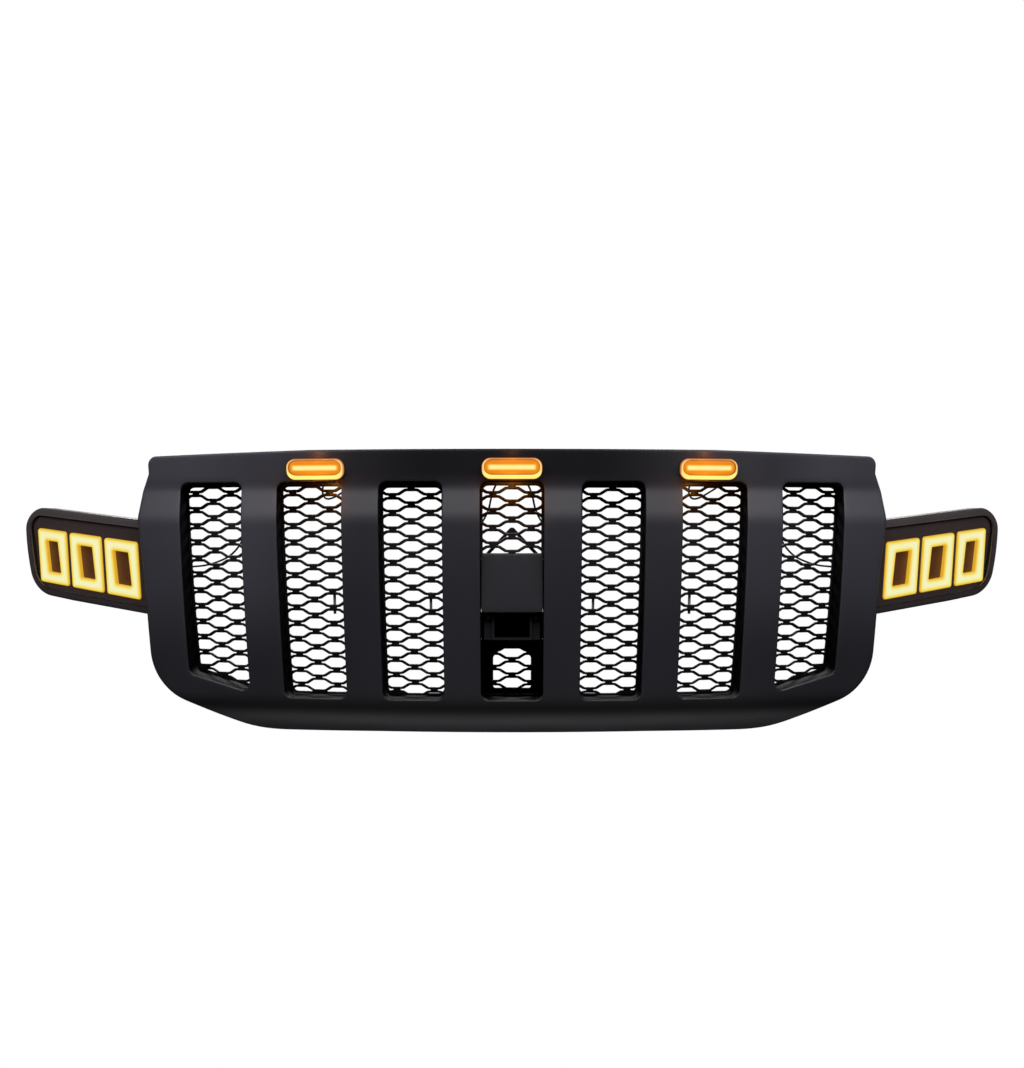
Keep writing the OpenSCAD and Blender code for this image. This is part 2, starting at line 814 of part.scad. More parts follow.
module marker_board(a) {
  color("#1d5c2e") placed() at_marker(a) {
    along_y(-1, 0.6) pill_2d(marker_back_w - 5, marker_back_h - 5, 2);
    for (i = [-3:3]) translate([i * 8 - 1.75, -1.9, -1.75]) cube([3.5, 1, 3.5]);
  }
}

module marker_bar(a) {
  front = -marker_gasket_t - marker_flange_t;
  color("#ffd24a") placed() at_marker(a)
    along_y(front - 5, front - 0.2) pill_2d(marker_w - 14, marker_h - 9, 4);
}

module marker_lens(a) {
  back = -marker_gasket_t - marker_flange_t;
  front = -marker_proud;
  color(AMBER, 0.7) placed() at_marker(a) difference() {
    union() {
      marker_prism(front + 2.6, back, 0);
      marker_prism(front + 1, back, 0.8);
      marker_prism(front, back, 2.4);
    }
    marker_prism(front + marker_lens_t, back + 1, 3.4);
  }
}

// ---------------------------------------------------------------- wing lamps

side_y = crowned(half_w, 0);
wing_root = [half_w, side_y + 16];
wing_sweep = asin(half_w / crown_r) + wing_toe;
wing_hidden = 35;
wing_top_z = -107;
seal_t = 1.5;
lens_crown_r = 320;
ring_start = 12.5;
ring_end = 26.5;
ring_room = wing_l - ring_start - ring_end - 2 * ring_gap;
ring_w = [for (s = ring_share) ring_room * s / (ring_share[0] + ring_share[1] + ring_share[2])];
ring_lean = 7.6;
ring_top_z = -138.8;
ring_top_rise = 0.1084;
ring_bottom_z = -227;
ring_bottom_rise = 0.124;

// The wing's frame: X outwards along the sweep, Y from the lens backwards, Z as the body's.
module in_wing() {
  translate([wing_root[0], wing_root[1], 0]) rotate([0, 0, wing_sweep]) children();
}

module wing_2d() {
  tip = wing_l;
  polygon(rounded([
    [-wing_hidden, wing_top_z, 3],
    [-wing_hidden, wing_top_z - 144, 3],
    [tip - 106, wing_top_z - 123.5, 200],
    [tip - 23.5, wing_top_z - 111.9, 46],
    [tip + 1.5, wing_top_z + 28.4, 30]
  ], 7));
}

module wing_slab(y0, y1, grow) {
  along_y(y0, y1) offset(delta = grow) wing_2d();
}

// Start of light frame i at its top edge, counted from the body outwards.
function ring_s(i) = ring_start + (i > 0 ? ring_w[0] + ring_gap : 0) + (i > 1 ? ring_w[1] + ring_gap : 0);
function ring_top(s) = ring_top_z + ring_top_rise * s;
function ring_bottom(s) = ring_bottom_z + ring_bottom_rise * s;

// A leaning frame outline, inset by side and band on each side.
module ring_2d(i, side, band, r) {
  s0 = ring_s(i) + side;
  s1 = ring_s(i) + ring_w[i] - side;
  lean = ring_lean;
  polygon(rounded([
    [s0, ring_top(s0) - band, r],
    [s0 - lean, ring_bottom(s0 - lean) + band, r],
    [s1 - lean, ring_bottom(s1 - lean) + band, r],
    [s1, ring_top(s1) - band, r]
  ], 4));
}

// The crowned space behind the lens's face, d behind it.
module crowned_space(d) {
  mid = wing_top_z - 60;
  translate([wing_l / 2, lens_crown_r, mid]) rotate([0, -6, 0]) rotate([0, 90, 0])
    cylinder(r = lens_crown_r - d, h = 2 * wing_l, center = true, $fn = 120);
}

module wing_lens(side) {
  color(SMOKE, 0.6) placed() on_side(side) in_wing() difference() {
    intersection() {
      wing_slab(0, lens_d, 0);
      crowned_space(0);
    }
    intersection() {
      wing_slab(-1, lens_d + 1, -lens_t);
      crowned_space(lens_t);
    }
  }
}

mask_y = 9.5;
mask_t = 1.5;
ring_d = 7;

module wing_mask(side) {
  color("#121212") placed() on_side(side) in_wing() difference() {
    along_y(mask_y, mask_y + mask_t) offset(delta = -lens_t - 9) wing_2d();
    for (i = [0:2]) along_y(mask_y - 1, mask_y + 3) ring_2d(i, -fit, -fit, 5);
  }
}

module wing_ring(side, i) {
  color("#ffcf3a") placed() on_side(side) in_wing() difference() {
    along_y(mask_y - 1.5, mask_y - 1.5 + ring_d) ring_2d(i, 0, 0, 5);
    along_y(mask_y - 3, mask_y + 20) ring_2d(i, ring_side, ring_band, 2);
  }
}

module wing_board(side) {
  y = mask_y - 1.5 + ring_d + 2;
  color("#1d5c2e") placed() on_side(side) in_wing() {
    along_y(y, y + 1.6) offset(delta = -12) wing_2d();
    for (i = [0:2], k = [0:4]) {
      s = ring_s(i) + ring_side / 2 - ring_lean * k / 4;
      z = ring_top(s) - 12 - k * 15;
      for (dx = [0, ring_w[i] - ring_side]) translate([s + dx - 1.75, y - 1, z - 1.75]) cube([3.5, 1.5, 3.5]);
    }
  }
}

module wing_seal(side) {
  color("#0c0c0c") placed() on_side(side) in_wing() difference() {
    wing_slab(lens_d, lens_d + seal_t, 0);
    wing_slab(lens_d - 1, lens_d + 4, -lens_t - 1.5);
  }
}

housing_y = lens_d + seal_t;
housing_back = housing_y + housing_d;
wing_ear_levels = [wing_top_z - 22, wing_top_z - 122];
wing_ear_s = -wing_hidden - 8.5;
wing_ear_t = 4;
bracket_s = wing_l - 85;
bracket_z = wing_top_z - 50;
bracket_t = 2;
bracket_w = 44;
bracket_reach = 34;

module wing_bosses() {
  for (z = wing_ear_levels) translate([wing_ear_s, housing_y - 45, z])
    rotate([-90, 0, 0]) cylinder(r = boss_r, h = 45);
}

module wing_screw_holes() {
  for (z = wing_ear_levels) translate([wing_ear_s, housing_y - 14, z])
    rotate([-90, 0, 0]) cylinder(r = screw_r + 0.05, h = 20);
}

module wing_housing(side) {
  color("#151517") placed() on_side(side) in_wing() difference() {
    union() {
      wing_slab(housing_y, housing_back, 0);
      for (z = wing_ear_levels) {
        translate([wing_ear_s, housing_y, z - 8]) cube([14, wing_ear_t, 16]);
        translate([wing_ear_s, housing_y, z]) rotate([-90, 0, 0]) cylinder(r = 8, h = wing_ear_t);
      }
      for (dz = [-1, 1]) translate([bracket_s + dz * 13, housing_back - 8, bracket_z])
        rotate([-90, 0, 0]) cylinder(r = 4.5, h = 8);
      translate([28, housing_back - 4, bracket_z - 12]) cube([20, 12, 14]);
    }
    wing_slab(housing_y - 1, housing_back - 2.5, -2.5 - 1.5);
    for (z = wing_ear_levels) translate([wing_ear_s, housing_y - 5, z])
      rotate([-90, 0, 0]) cylinder(r = screw_r + 0.3, h = 20);
    for (dz = [-1, 1]) translate([bracket_s + dz * 13, housing_back - 6, bracket_z])
      rotate([-90, 0, 0]) cylinder(r = screw_r + 0.05, h = 20);
  }
}

// An angle bracket on the back of the housing, with the hole for the vehicle's bolt.
module wing_bracket(side) {
  color("#9a9ca0") placed() on_side(side) in_wing() difference() {
    union() {
      translate([bracket_s - bracket_w / 2, housing_back, bracket_z - 12])
        cube([bracket_w, bracket_t, 24]);
      translate([bracket_s - bracket_w / 2, housing_back, bracket_z - 12])
        cube([bracket_w, bracket_reach, bracket_t]);
    }
    for (dz = [-1, 1]) translate([bracket_s + dz * 13, housing_back - 5, bracket_z])
      rotate([-90, 0, 0]) cylinder(r = screw_r + 0.3, h = 20);
    translate([bracket_s, housing_back + bracket_reach - 13, bracket_z - 20])
      cylinder(r = wing_hole_r, h = 20);
  }
}

module wing_screw(s, y, z, l) {
  translate([s, y, z]) rotate([90, 0, 0]) {
    cylinder(r = screw_r, h = l);
    translate([0, 0, -2.6]) cylinder(r = screw_r * 2, h = 2.6);
  }
}

module wing_screws() {
  color("#8a8d92") placed() both_sides() in_wing() {
    for (z = wing_ear_levels) wing_screw(wing_ear_s, housing_y + wing_ear_t, z, wing_ear_t + 12);
    for (dz = [-1, 1]) wing_screw(bracket_s + dz * 13, housing_back + bracket_t, bracket_z, bracket_t + 5);
  }
}

// ---------------------------------------------------------------- wiring

function ring_pts(c, u, v, r, n) = [for (k = [0:n - 1]) c + r * (cos(360 * k / n) * u + sin(360 * k / n) * v)];
function side_of(t) = unit(cross(t, [0.05, 0.1, 1]));

// A tube swept along a path of points.
module tube(path, d, n = 8) {
  m = len(path);
  dirs = [for (i = [0:m - 1]) unit(path[min(i + 1, m - 1)] - path[max(i - 1, 0)])];
  pts = [for (i = [0:m - 1])
    let (u = side_of(dirs[i]), v = cross(dirs[i], u))
    each ring_pts(path[i], u, v, d / 2, n)];
  sides = [for (i = [0:m - 2], k = [0:n - 1])
    let (a = i * n + k, b = i * n + (k + 1) % n)
    each [[a, b, b + n], [a, b + n, a + n]]];
  ends = [[for (k = [n - 1:-1:0]) k], [for (k = [0:n - 1]) (m - 1) * n + k]];
  polyhedron(points = pts, faces = concat(sides, ends));
}

loom_z = -slot_top + wall + 1.5 + loom_d / 2;
loom_depth = seat_depth - 12;
loom_reach = 19.5;
loom_path = [for (i = [0:30])
  let (a = -loom_reach + 2 * loom_reach * i / 30)
  [(crown_r - loom_depth) * sin(a), crown_r - (crown_r - loom_depth) * cos(a), loom_z]];

// The tail that rises from the loom to the supply connector.
supply_path = [
  [98, 50, -39], [106, 45, -35], [114, 36, -25], [122, 30, -15], [129, 29, -12], [136, 36, -12]
];

module loom() {
  color("#161616") placed() {
    tube(loom_path, loom_d);
    tube(supply_path, lead_d + 1);
  }
}

wing_lead_path = [
  [586, 189, -160], [572, 190, -165], [550, 186, -171], [528, 179, -176], [511, 173, -176],
  [494, 167, -175], [476, 161, -173], [458, 156, -168], [440, 151, -160], [426, 147, -148],
  [416, 143, -132], [411, 139, -106], [410, 136, -78], [412, 135, -56], [417, 132, -40],
  [422, 122, -35], [427, 113.5, -37]
];

module wing_leads() {
  color("#161616") placed() both_sides() tube(wing_lead_path, lead_d);
}

marker_lead_path = [
  [3, 41, -26], [2, 54, -28], [-3, 65, -36], [-8, 70, -48], [-10, 71, -62], [-4, 71, -71],
  [8, 71, -69], [24, 70, -60], [37, 69.5, -51], [46, 68, -35], [50, 60, -34],
  [52, 51, -37]
];
centre_lead_path = [
  [3, 41, -26], [8, 54, -29], [17, 66, -40], [26, 70, -55], [31, 71, -70], [35, 72, -87],
  [43, 73, -104], [51, 73.5, -111], [62, 73, -106], [70, 71, -88], [75, 69, -64], [77, 64, -44],
  [79, 51, -37]
];

module marker_leads() {
  color("#161616") placed() {
    for (a = [-marker_angle, marker_angle])
      translate([0, crown_r, 0]) rotate([0, 0, a]) translate([0, -crown_r, 0])
        tube(marker_lead_path, lead_d);
    both_sides() tube(centre_lead_path, lead_d);
  }
}

// Saddle clips that hold the loom on the tops of the slot walls.
clip_angles = [-17.5, -14.2, -9.6, -4.2, 4.2, 9.6, 14.2, 17.5];

module loom_clip() {
  w = 8;
  translate([-w / 2, loom_depth, loom_z]) rotate([0, 90, 0]) difference() {
    cylinder(d = loom_d + 3.5, h = w);
    translate([0, 0, -1]) cylinder(d = loom_d + 0.2, h = w + 2);
  }
}

module loom_clips() {
  color("#2b2b2d") placed() for (a = clip_angles)
    translate([0, crown_r, 0]) rotate([0, 0, a]) translate([0, -crown_r, 0]) loom_clip();
}

module supply_connector() {
  color("#1a1a1a") placed() translate([120, 34, -wall - 18]) difference() {
    cube([32, 22, 18]);
    translate([3, 8, 3]) cube([26, 20, 12]);
  }
}

// Clip nuts on the fixing tabs.
module clip_nut() {
  difference() {
    union() {
      translate([-9, -9, -tab_t - 1.2]) cube([18, 18, 1.2]);
      translate([0, 0, -tab_t - 5.2]) cylinder(r = 6.5, h = 4);
    }
    translate([0, 0, -20]) cylinder(r = fixing_r, h = 30);
  }
}

module fixing_nuts() {
  color("#9a9ca0") placed() for (side = [-1, 1]) {
    translate([side * upper_pitch / 2, upper_fixing_y, 0]) clip_nut();
    translate([side * outer_pitch / 2, outer_fixing_y, -outer_tab_drop]) clip_nut();
  }
}

// ---------------------------------------------------------------- nodes

bezel();
side_mesh(LEFT, 3);  // mesh_left_outer
side_mesh(LEFT, 2);  // mesh_left_middle
side_mesh(LEFT, 1);  // mesh_left_inner
mesh_centre_upper();
mesh_centre_lower();
side_mesh(RIGHT, 1);  // mesh_right_inner
side_mesh(RIGHT, 2);  // mesh_right_middle
side_mesh(RIGHT, 3);  // mesh_right_outer
mesh_screws();
mesh_clips();
badge_plate();
badge_carrier();
badge_brace();
brace_screws();
camera_bracket();
camera_screws();
marker_lens(-marker_angle);  // marker_lens_left
marker_bar(-marker_angle);  // marker_bar_left
marker_board(-marker_angle);  // marker_board_left
marker_housing(-marker_angle);  // marker_housing_left
marker_gasket(-marker_angle);  // marker_gasket_left
marker_lens(0);  // marker_lens_centre
marker_bar(0);  // marker_bar_centre
marker_board(0);  // marker_board_centre
marker_housing(0);  // marker_housing_centre
marker_gasket(0);  // marker_gasket_centre
marker_lens(marker_angle);  // marker_lens_right
marker_bar(marker_angle);  // marker_bar_right
marker_board(marker_angle);  // marker_board_right
marker_housing(marker_angle);  // marker_housing_right
marker_gasket(marker_angle);  // marker_gasket_right
wing_lens(LEFT);  // wing_lens_left
wing_mask(LEFT);  // wing_mask_left
wing_ring(LEFT, 0);  // wing_ring_inner_left
wing_ring(LEFT, 1);  // wing_ring_middle_left
wing_ring(LEFT, 2);  // wing_ring_outer_left
wing_board(LEFT);  // wing_board_left
wing_seal(LEFT);  // wing_seal_left
wing_housing(LEFT);  // wing_housing_left
wing_bracket(LEFT);  // wing_bracket_left
wing_lens(RIGHT);  // wing_lens_right
wing_mask(RIGHT);  // wing_mask_right
wing_ring(RIGHT, 0);  // wing_ring_inner_right
wing_ring(RIGHT, 1);  // wing_ring_middle_right
wing_ring(RIGHT, 2);  // wing_ring_outer_right
wing_board(RIGHT);  // wing_board_right
wing_seal(RIGHT);  // wing_seal_right
wing_housing(RIGHT);  // wing_housing_right
wing_bracket(RIGHT);  // wing_bracket_right
wing_screws();
loom();
wing_leads();
marker_leads();
loom_clips();
supply_connector();
fixing_nuts();
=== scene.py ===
"""Front grille with lit marker lamps and wings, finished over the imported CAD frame.

The CAD nodes give every place and size. This script replaces the pieces whose surfaces need
fillets, finer curves or light, and gives each piece a procedural finish. Working units are
millimetres in the body's own frame, whose y is the depth behind the crease of the face.
"""

from __future__ import annotations

import logging
import math
from collections.abc import Callable, Iterable, Sequence
from dataclasses import dataclass
from enum import Enum

import bmesh
import bpy
import numpy as np
from mathutils import Matrix, Vector
from mathutils.geometry import delaunay_2d_cdt
from mathutils.kdtree import KDTree


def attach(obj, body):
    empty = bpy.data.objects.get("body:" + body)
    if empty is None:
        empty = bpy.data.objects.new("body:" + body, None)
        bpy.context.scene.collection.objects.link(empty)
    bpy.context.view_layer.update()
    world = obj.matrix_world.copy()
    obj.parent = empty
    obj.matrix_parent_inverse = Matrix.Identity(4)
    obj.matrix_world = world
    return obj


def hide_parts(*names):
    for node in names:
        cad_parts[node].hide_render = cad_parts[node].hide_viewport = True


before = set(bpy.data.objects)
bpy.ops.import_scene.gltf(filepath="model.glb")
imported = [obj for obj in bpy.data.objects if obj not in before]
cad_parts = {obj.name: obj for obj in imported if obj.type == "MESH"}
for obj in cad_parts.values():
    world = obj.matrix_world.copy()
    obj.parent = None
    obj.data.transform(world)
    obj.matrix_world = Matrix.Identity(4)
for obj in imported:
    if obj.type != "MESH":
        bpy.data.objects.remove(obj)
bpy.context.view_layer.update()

log = logging.getLogger("grille")
Loop = np.ndarray
Surface = Callable[[np.ndarray, np.ndarray], np.ndarray]
Placer = Callable[[np.ndarray], np.ndarray]


@dataclass(frozen=True)
class Sizes:
    """Driving sizes of the grille in millimetres, the same as the CAD source's."""

    crown_r: float = 1450
    rail_h: float = 56.5
    rail_overhang: float = 6
    band_h: float = 45
    band_recess: float = 15.5
    face_r: float = 950
    roll_r: float = 82
    roll_end: float = 80
    wall: float = 3
    slot_w: float = 94
    outer_slot_w: float = 98.5
    bar_w: float = 55.5
    side_w: float = 68.5
    slot_top: float = 47
    slot_h: float = 323.5
    sill_h: float = 57
    sill_arch: float = 3
    fan: float = 2.5
    outer_slot_rise: float = 33
    slot_corner_r: float = 12
    seat_depth: float = 58
    seat_r: float = 900
    seat_start_z: float = -64.5
    mesh_t: float = 5
    cell_pitch_z: float = 25
    cell_pitch_x: float = 28.6
    strand_w: float = 4.8
    joint_h: float = 10.4
    joint_l: float = 11
    frame_w: float = 3
    flange_w: float = 8
    upper_fixing_y: float = 95
    boss_r: float = 5

    @property
    def crease_z(self) -> float:
        """Height of the crease."""
        return -(self.rail_h + self.band_h)

    @property
    def body_h(self) -> float:
        """Height of the body."""
        return self.slot_top + self.slot_h + self.sill_h

    @property
    def slot_bottom_z(self) -> float:
        """Height of the slots' lower edges."""
        return -(self.slot_top + self.slot_h)

    @property
    def half_w(self) -> float:
        """Half the width of the body at the crease."""
        return self.slot_w * 1.5 + 3 * self.bar_w + 2 * self.outer_slot_w + self.side_w


S = Sizes()
SLOT_COUNT = 4


# ---------------------------------------------------------------- outlines


def circle(x: float, z: float, r: float, count: int = 24) -> Loop:
    """A ring of points about a middle."""
    turn = np.linspace(0, 2 * math.pi, count, endpoint=False)
    return np.stack([x + r * np.cos(turn), z + r * np.sin(turn)], axis=1)


def corner(a: Sequence[float], p: Sequence[float], b: Sequence[float], r: float, n: int) -> Loop:
    """Points of the corner at p between neighbours a and b, rounded to radius r.

    Args:
        a: The neighbour before the corner.
        p: The corner.
        b: The neighbour after the corner.
        r: Radius of the rounding.
        n: Number of steps along the arc.

    Returns:
        The arc's points, in order.
    """
    a, p, b = (np.asarray(v[:2], float) for v in (a, p, b))
    u = (a - p) / np.linalg.norm(a - p)
    v = (b - p) / np.linalg.norm(b - p)
    half = math.acos(max(-1.0, min(1.0, float(u @ v)))) / 2
    t = r / math.tan(half)
    c = p + (u + v) / np.linalg.norm(u + v) * (r / math.sin(half))
    s, e = p + u * t - c, p + v * t - c
    a0 = math.atan2(s[1], s[0])
    sweep = (math.atan2(e[1], e[0]) - a0 + math.pi) % (2 * math.pi) - math.pi
    turn = a0 + sweep * np.linspace(0, 1, n + 1)
    return c + r * np.stack([np.cos(turn), np.sin(turn)], axis=1)


def rounded(points: Sequence[Sequence[float]], steps: int = 10) -> Loop:
    """Closed outline of (x, y, radius) corners.

    Args:
        points: The corners in order, each with its own radius.
        steps: Steps along each rounded corner.

    Returns:
        The outline's points.
    """
    out = []
    count = len(points)
    for i, p in enumerate(points):
        if p[2] == 0:
            out.append(np.array([p[:2]], float))
        else:
            out.append(corner(points[i - 1], p, points[(i + 1) % count], p[2], steps))
    return anticlockwise(np.concatenate(out))


def signed_area(loop: Loop) -> float:
    """Area of the loop, negative where it runs clockwise."""
    x, z = loop[:, 0], loop[:, 1]
    return float(np.sum(x * np.roll(z, -1) - np.roll(x, -1) * z)) / 2


def anticlockwise(loop: Loop) -> Loop:
    """The loop turned to run anticlockwise."""
    return loop if signed_area(loop) > 0 else loop[::-1].copy()


def resampled(loop: Loop, step: float) -> Loop:
    """The loop with its long edges divided so that none is longer than step."""
    out = []
    for p, q in zip(loop, np.roll(loop, -1, axis=0)):
        count = max(1, math.ceil(float(np.linalg.norm(q - p)) / step))
        out += [p + (q - p) * k / count for k in range(count)]
    return np.array(out)


def offset_loop(loop: Loop, d: float) -> Loop:
    """The anticlockwise loop moved outwards by d, or inwards when d is negative."""
    before = loop - np.roll(loop, 1, axis=0)
    after = np.roll(loop, -1, axis=0) - loop
    n0 = np.stack([before[:, 1], -before[:, 0]], axis=1)
    n1 = np.stack([after[:, 1], -after[:, 0]], axis=1)
    n0 /= np.linalg.norm(n0, axis=1)[:, None]
    n1 /= np.linalg.norm(n1, axis=1)[:, None]
    mid = n0 + n1
    mid /= np.linalg.norm(mid, axis=1)[:, None]
    reach = d / np.maximum(np.sum(mid * n0, axis=1), 0.5)
    return loop + mid * reach[:, None]


def softened(loop: Loop, r: float, steps: int = 3) -> Loop:
    """The loop with every corner eased by a short curve of about radius r."""
    out = []
    for p, a, b in zip(loop, np.roll(loop, 1, axis=0), np.roll(loop, -1, axis=0)):
        u, v = a - p, b - p
        lu, lv = float(np.linalg.norm(u)), float(np.linalg.norm(v))
        t = min(r, 0.45 * lu, 0.45 * lv)
        s, e = p + u / lu * t, p + v / lv * t
        for k in range(steps + 1):
            w = k / steps
            out.append((1 - w) ** 2 * s + 2 * w * (1 - w) * p + w * w * e)
    return np.array(out)


def clipped(loop: Loop, convex: Loop) -> Loop | None:
    """The part of a loop inside a convex anticlockwise loop.

    Args:
        loop: The loop to cut.
        convex: The loop that bounds it.

    Returns:
        The cut loop, or None where nothing useful is left.
    """
    least_edge, least_area = 0.25, 8
    pts = [np.asarray(p, float) for p in loop]
    for a, b in zip(convex, np.roll(convex, -1, axis=0)):
        edge = b - a
        out = []
        for p, q in zip(pts, pts[1:] + pts[:1]):
            dp = edge[0] * (p[1] - a[1]) - edge[1] * (p[0] - a[0])
            dq = edge[0] * (q[1] - a[1]) - edge[1] * (q[0] - a[0])
            if dp >= 0:
                out.append(p)
            if (dp >= 0) != (dq >= 0):
                out.append(p + (q - p) * dp / (dp - dq))
        pts = out
        if len(pts) < 3:
            return None
    kept = [p for p, q in zip(pts, pts[1:] + pts[:1]) if np.linalg.norm(p - q) > least_edge]
    if len(kept) < 3:
        return None
    out = np.array(kept)
    return anticlockwise(out) if abs(signed_area(out)) > least_area else None


def inside(points: np.ndarray, loop: Loop) -> np.ndarray:
    """Which of the points lie inside the loop."""
    hit = np.zeros(len(points), bool)
    x, z = points[:, 0], points[:, 1]
    for (x0, z0), (x1, z1) in zip(loop, np.roll(loop, -1, axis=0)):
        if z0 == z1:
            continue
        hit ^= ((z0 > z) != (z1 > z)) & (x < (x1 - x0) * (z - z0) / (z1 - z0) + x0)
    return hit


def within(points: np.ndarray, loops: Sequence[Loop]) -> np.ndarray:
    """Which of the points lie inside the first loop and outside its holes."""
    keep = inside(points, loops[0])
    for hole in loops[1:]:
        keep &= ~inside(points, hole)
    return keep


def triangulated(loops: Sequence[Loop], more: np.ndarray) -> tuple[np.ndarray, np.ndarray]:
    """Triangles that fill the region between an outer loop and its holes.

    Args:
        loops: The outer loop first, then the holes.
        more: Further points inside the region.

    Returns:
        The points, and the triangles as rows of three indices.
    """
    edges, first = [], 0
    for loop in loops:
        edges += [(first + k, first + (k + 1) % len(loop)) for k in range(len(loop))]
        first += len(loop)
    every = [Vector(p) for p in np.concatenate([*loops, more])]
    flat, _, tris, *_ = delaunay_2d_cdt(every, edges, [], 0, 1e-5, False)
    flat, tris = np.array([tuple(v) for v in flat]), np.array(tris)
    return flat, tris[within(flat[tris].mean(axis=1), loops)]


def edge_distance(points: np.ndarray, loops: Iterable[Loop]) -> np.ndarray:
    """Distance from each point to the nearest edge of any loop."""
    best = np.full(len(points), 1e9)
    for loop in loops:
        for p, q in zip(loop, np.roll(loop, -1, axis=0)):
            e = q - p
            t = np.clip((points - p) @ e / max(float(e @ e), 1e-12), 0, 1)
            best = np.minimum(best, np.linalg.norm(points - p - t[:, None] * e, axis=1))
    return best


# ---------------------------------------------------------------- the body's surfaces


def fanned(x: float, z: float) -> float:
    """How far a slot's edge draws in at height z."""
    return x * (1 - S.fan / 100 * (-S.slot_top - z) / S.slot_h)


def slot_outer(i: int) -> float:
    """Outer edge of slot i at its top, counted outwards from the middle one."""
    first = S.slot_w / 2 + i * S.bar_w
    return first + (S.slot_w if i > 0 else 0) + (max(i - 1, 0)) * S.outer_slot_w


def slot_edge(i: int, out: int) -> float:
    """Inner (-1) or outer (+1) edge of slot i at its top."""
    if i == 0:
        return out * S.slot_w / 2
    width = S.slot_w if i == 1 else S.outer_slot_w
    return slot_outer(i) if out > 0 else slot_outer(i) - width


def slot_loop(i: int) -> Loop:
    """Outline of slot i on the right-hand side."""
    zo = S.slot_bottom_z + (S.outer_slot_rise if i == 3 else 0)
    zi = S.slot_bottom_z + (S.outer_slot_rise / 6 if i == 3 else 0)
    r = S.slot_corner_r
    return rounded([
        (slot_edge(i, -1), -S.slot_top, r),
        (fanned(slot_edge(i, -1), zi), zi, r),
        (fanned(slot_edge(i, 1), zo), zo, r),
        (slot_edge(i, 1), -S.slot_top, r),
    ], 8)


def body_loop() -> Loop:
    """Outline of the body as seen from in front."""
    w, h = S.half_w, S.body_h
    right = [
        (w - 273, 0, 0), (w - 14, -6, 14), (w - 15.5, -32, 8), (w - 5.5, -S.rail_h - 1.5, 30),
        (w, S.crease_z, 20), (w - 11, S.crease_z - 84.5, 300), (w - 18.5, -h + 66.5, 84),
        (w - 191, -h, 190), (w - 373, -h + S.sill_arch, 0),
    ]
    left = [(-x, z, r) for x, z, r in reversed(right)]
    return rounded(right + left, 14)


def front_profile() -> np.ndarray:
    """The face in side view, as (depth, z) from the top edge down."""
    lead = 12
    top = S.band_recess - S.rail_overhang * (S.rail_h + lead) / S.rail_h
    thin = S.face_r - S.roll_r
    end = math.asin((S.body_h + S.crease_z - S.roll_r * math.sin(math.radians(S.roll_end))) / thin)
    start = math.radians(2)

    def on_face(a: float) -> tuple[float, float]:
        """Point of the face at angle a below the crease."""
        return S.face_r * (1 - math.cos(a)), S.crease_z - S.face_r * math.sin(a)

    centre = (S.face_r - thin * math.cos(end), S.crease_z - thin * math.sin(end))
    valley, crease = (S.band_recess, -S.rail_h), (0, S.crease_z)
    pts = [(top, lead)]
    pts += list(corner((top, lead), valley, crease, 30, 12))
    pts += list(corner(valley, crease, on_face(start), 60, 12))
    pts += [on_face(start + (end - start) * k / 60) for k in range(1, 61)]
    for k in range(1, 41):
        a = end + (math.pi / 2 - end) * k / 40
        pts.append((centre[0] - S.roll_r * math.cos(a), centre[1] - S.roll_r * math.sin(a)))
    return np.array([tuple(p) for p in pts], float)


PROFILE = front_profile()


def crowned(x: np.ndarray, depth: np.ndarray) -> np.ndarray:
    """Depth at x of a surface whose depth on the centre line is given."""
    return S.crown_r - np.sqrt((S.crown_r - depth) ** 2 - np.square(x))


def face_y(x: np.ndarray, z: np.ndarray) -> np.ndarray:
    """Depth of the front face."""
    return crowned(x, np.interp(z, PROFILE[::-1, 1], PROFILE[::-1, 0]))


def inner_y(x: np.ndarray, z: np.ndarray) -> np.ndarray:
    """Depth of the inside of the moulded wall."""
    high = np.interp(z, PROFILE[::-1, 1], PROFILE[::-1, 0])
    step = 0.5
    slope = (np.interp(z + step, PROFILE[::-1, 1], PROFILE[::-1, 0]) - high) / step
    return crowned(x, high + S.wall * np.minimum(np.sqrt(1 + slope**2), 3.5))


def seat_line(z: np.ndarray) -> np.ndarray:
    """Depth of the mesh seat on the centre line."""
    drop = np.maximum(S.seat_start_z - np.asarray(z, float), 0)
    return S.seat_depth + S.seat_r - np.sqrt(S.seat_r**2 - drop**2)


def seat_y(x: np.ndarray, z: np.ndarray, behind: float = 0) -> np.ndarray:
    """Depth of a surface that lies behind the mesh seat by a given distance."""
    return crowned(x, seat_line(z) + behind)


def to_metres(p: np.ndarray) -> np.ndarray:
    """Body millimetres to frame metres."""
    return (np.asarray(p, float) - [0, S.upper_fixing_y, 0]) / 1000


def swung(p: np.ndarray, angle: float) -> np.ndarray:
    """Points swung round the upright axis that the face is crowned about."""
    c, s = math.cos(angle), math.sin(angle)
    x, y = p[:, 0], p[:, 1] - S.crown_r
    return np.stack([x * c - y * s, x * s + y * c + S.crown_r, p[:, 2]], axis=1)


def laid(flat: Loop, y: np.ndarray | float) -> np.ndarray:
    """Points of an outline in x and z, laid at depth y."""
    return np.stack([flat[:, 0], np.broadcast_to(y, len(flat)), flat[:, 1]], axis=1)


def level_at(y: float) -> Surface:
    """The flat surface at depth y."""
    return lambda x, z: np.full_like(x, y)


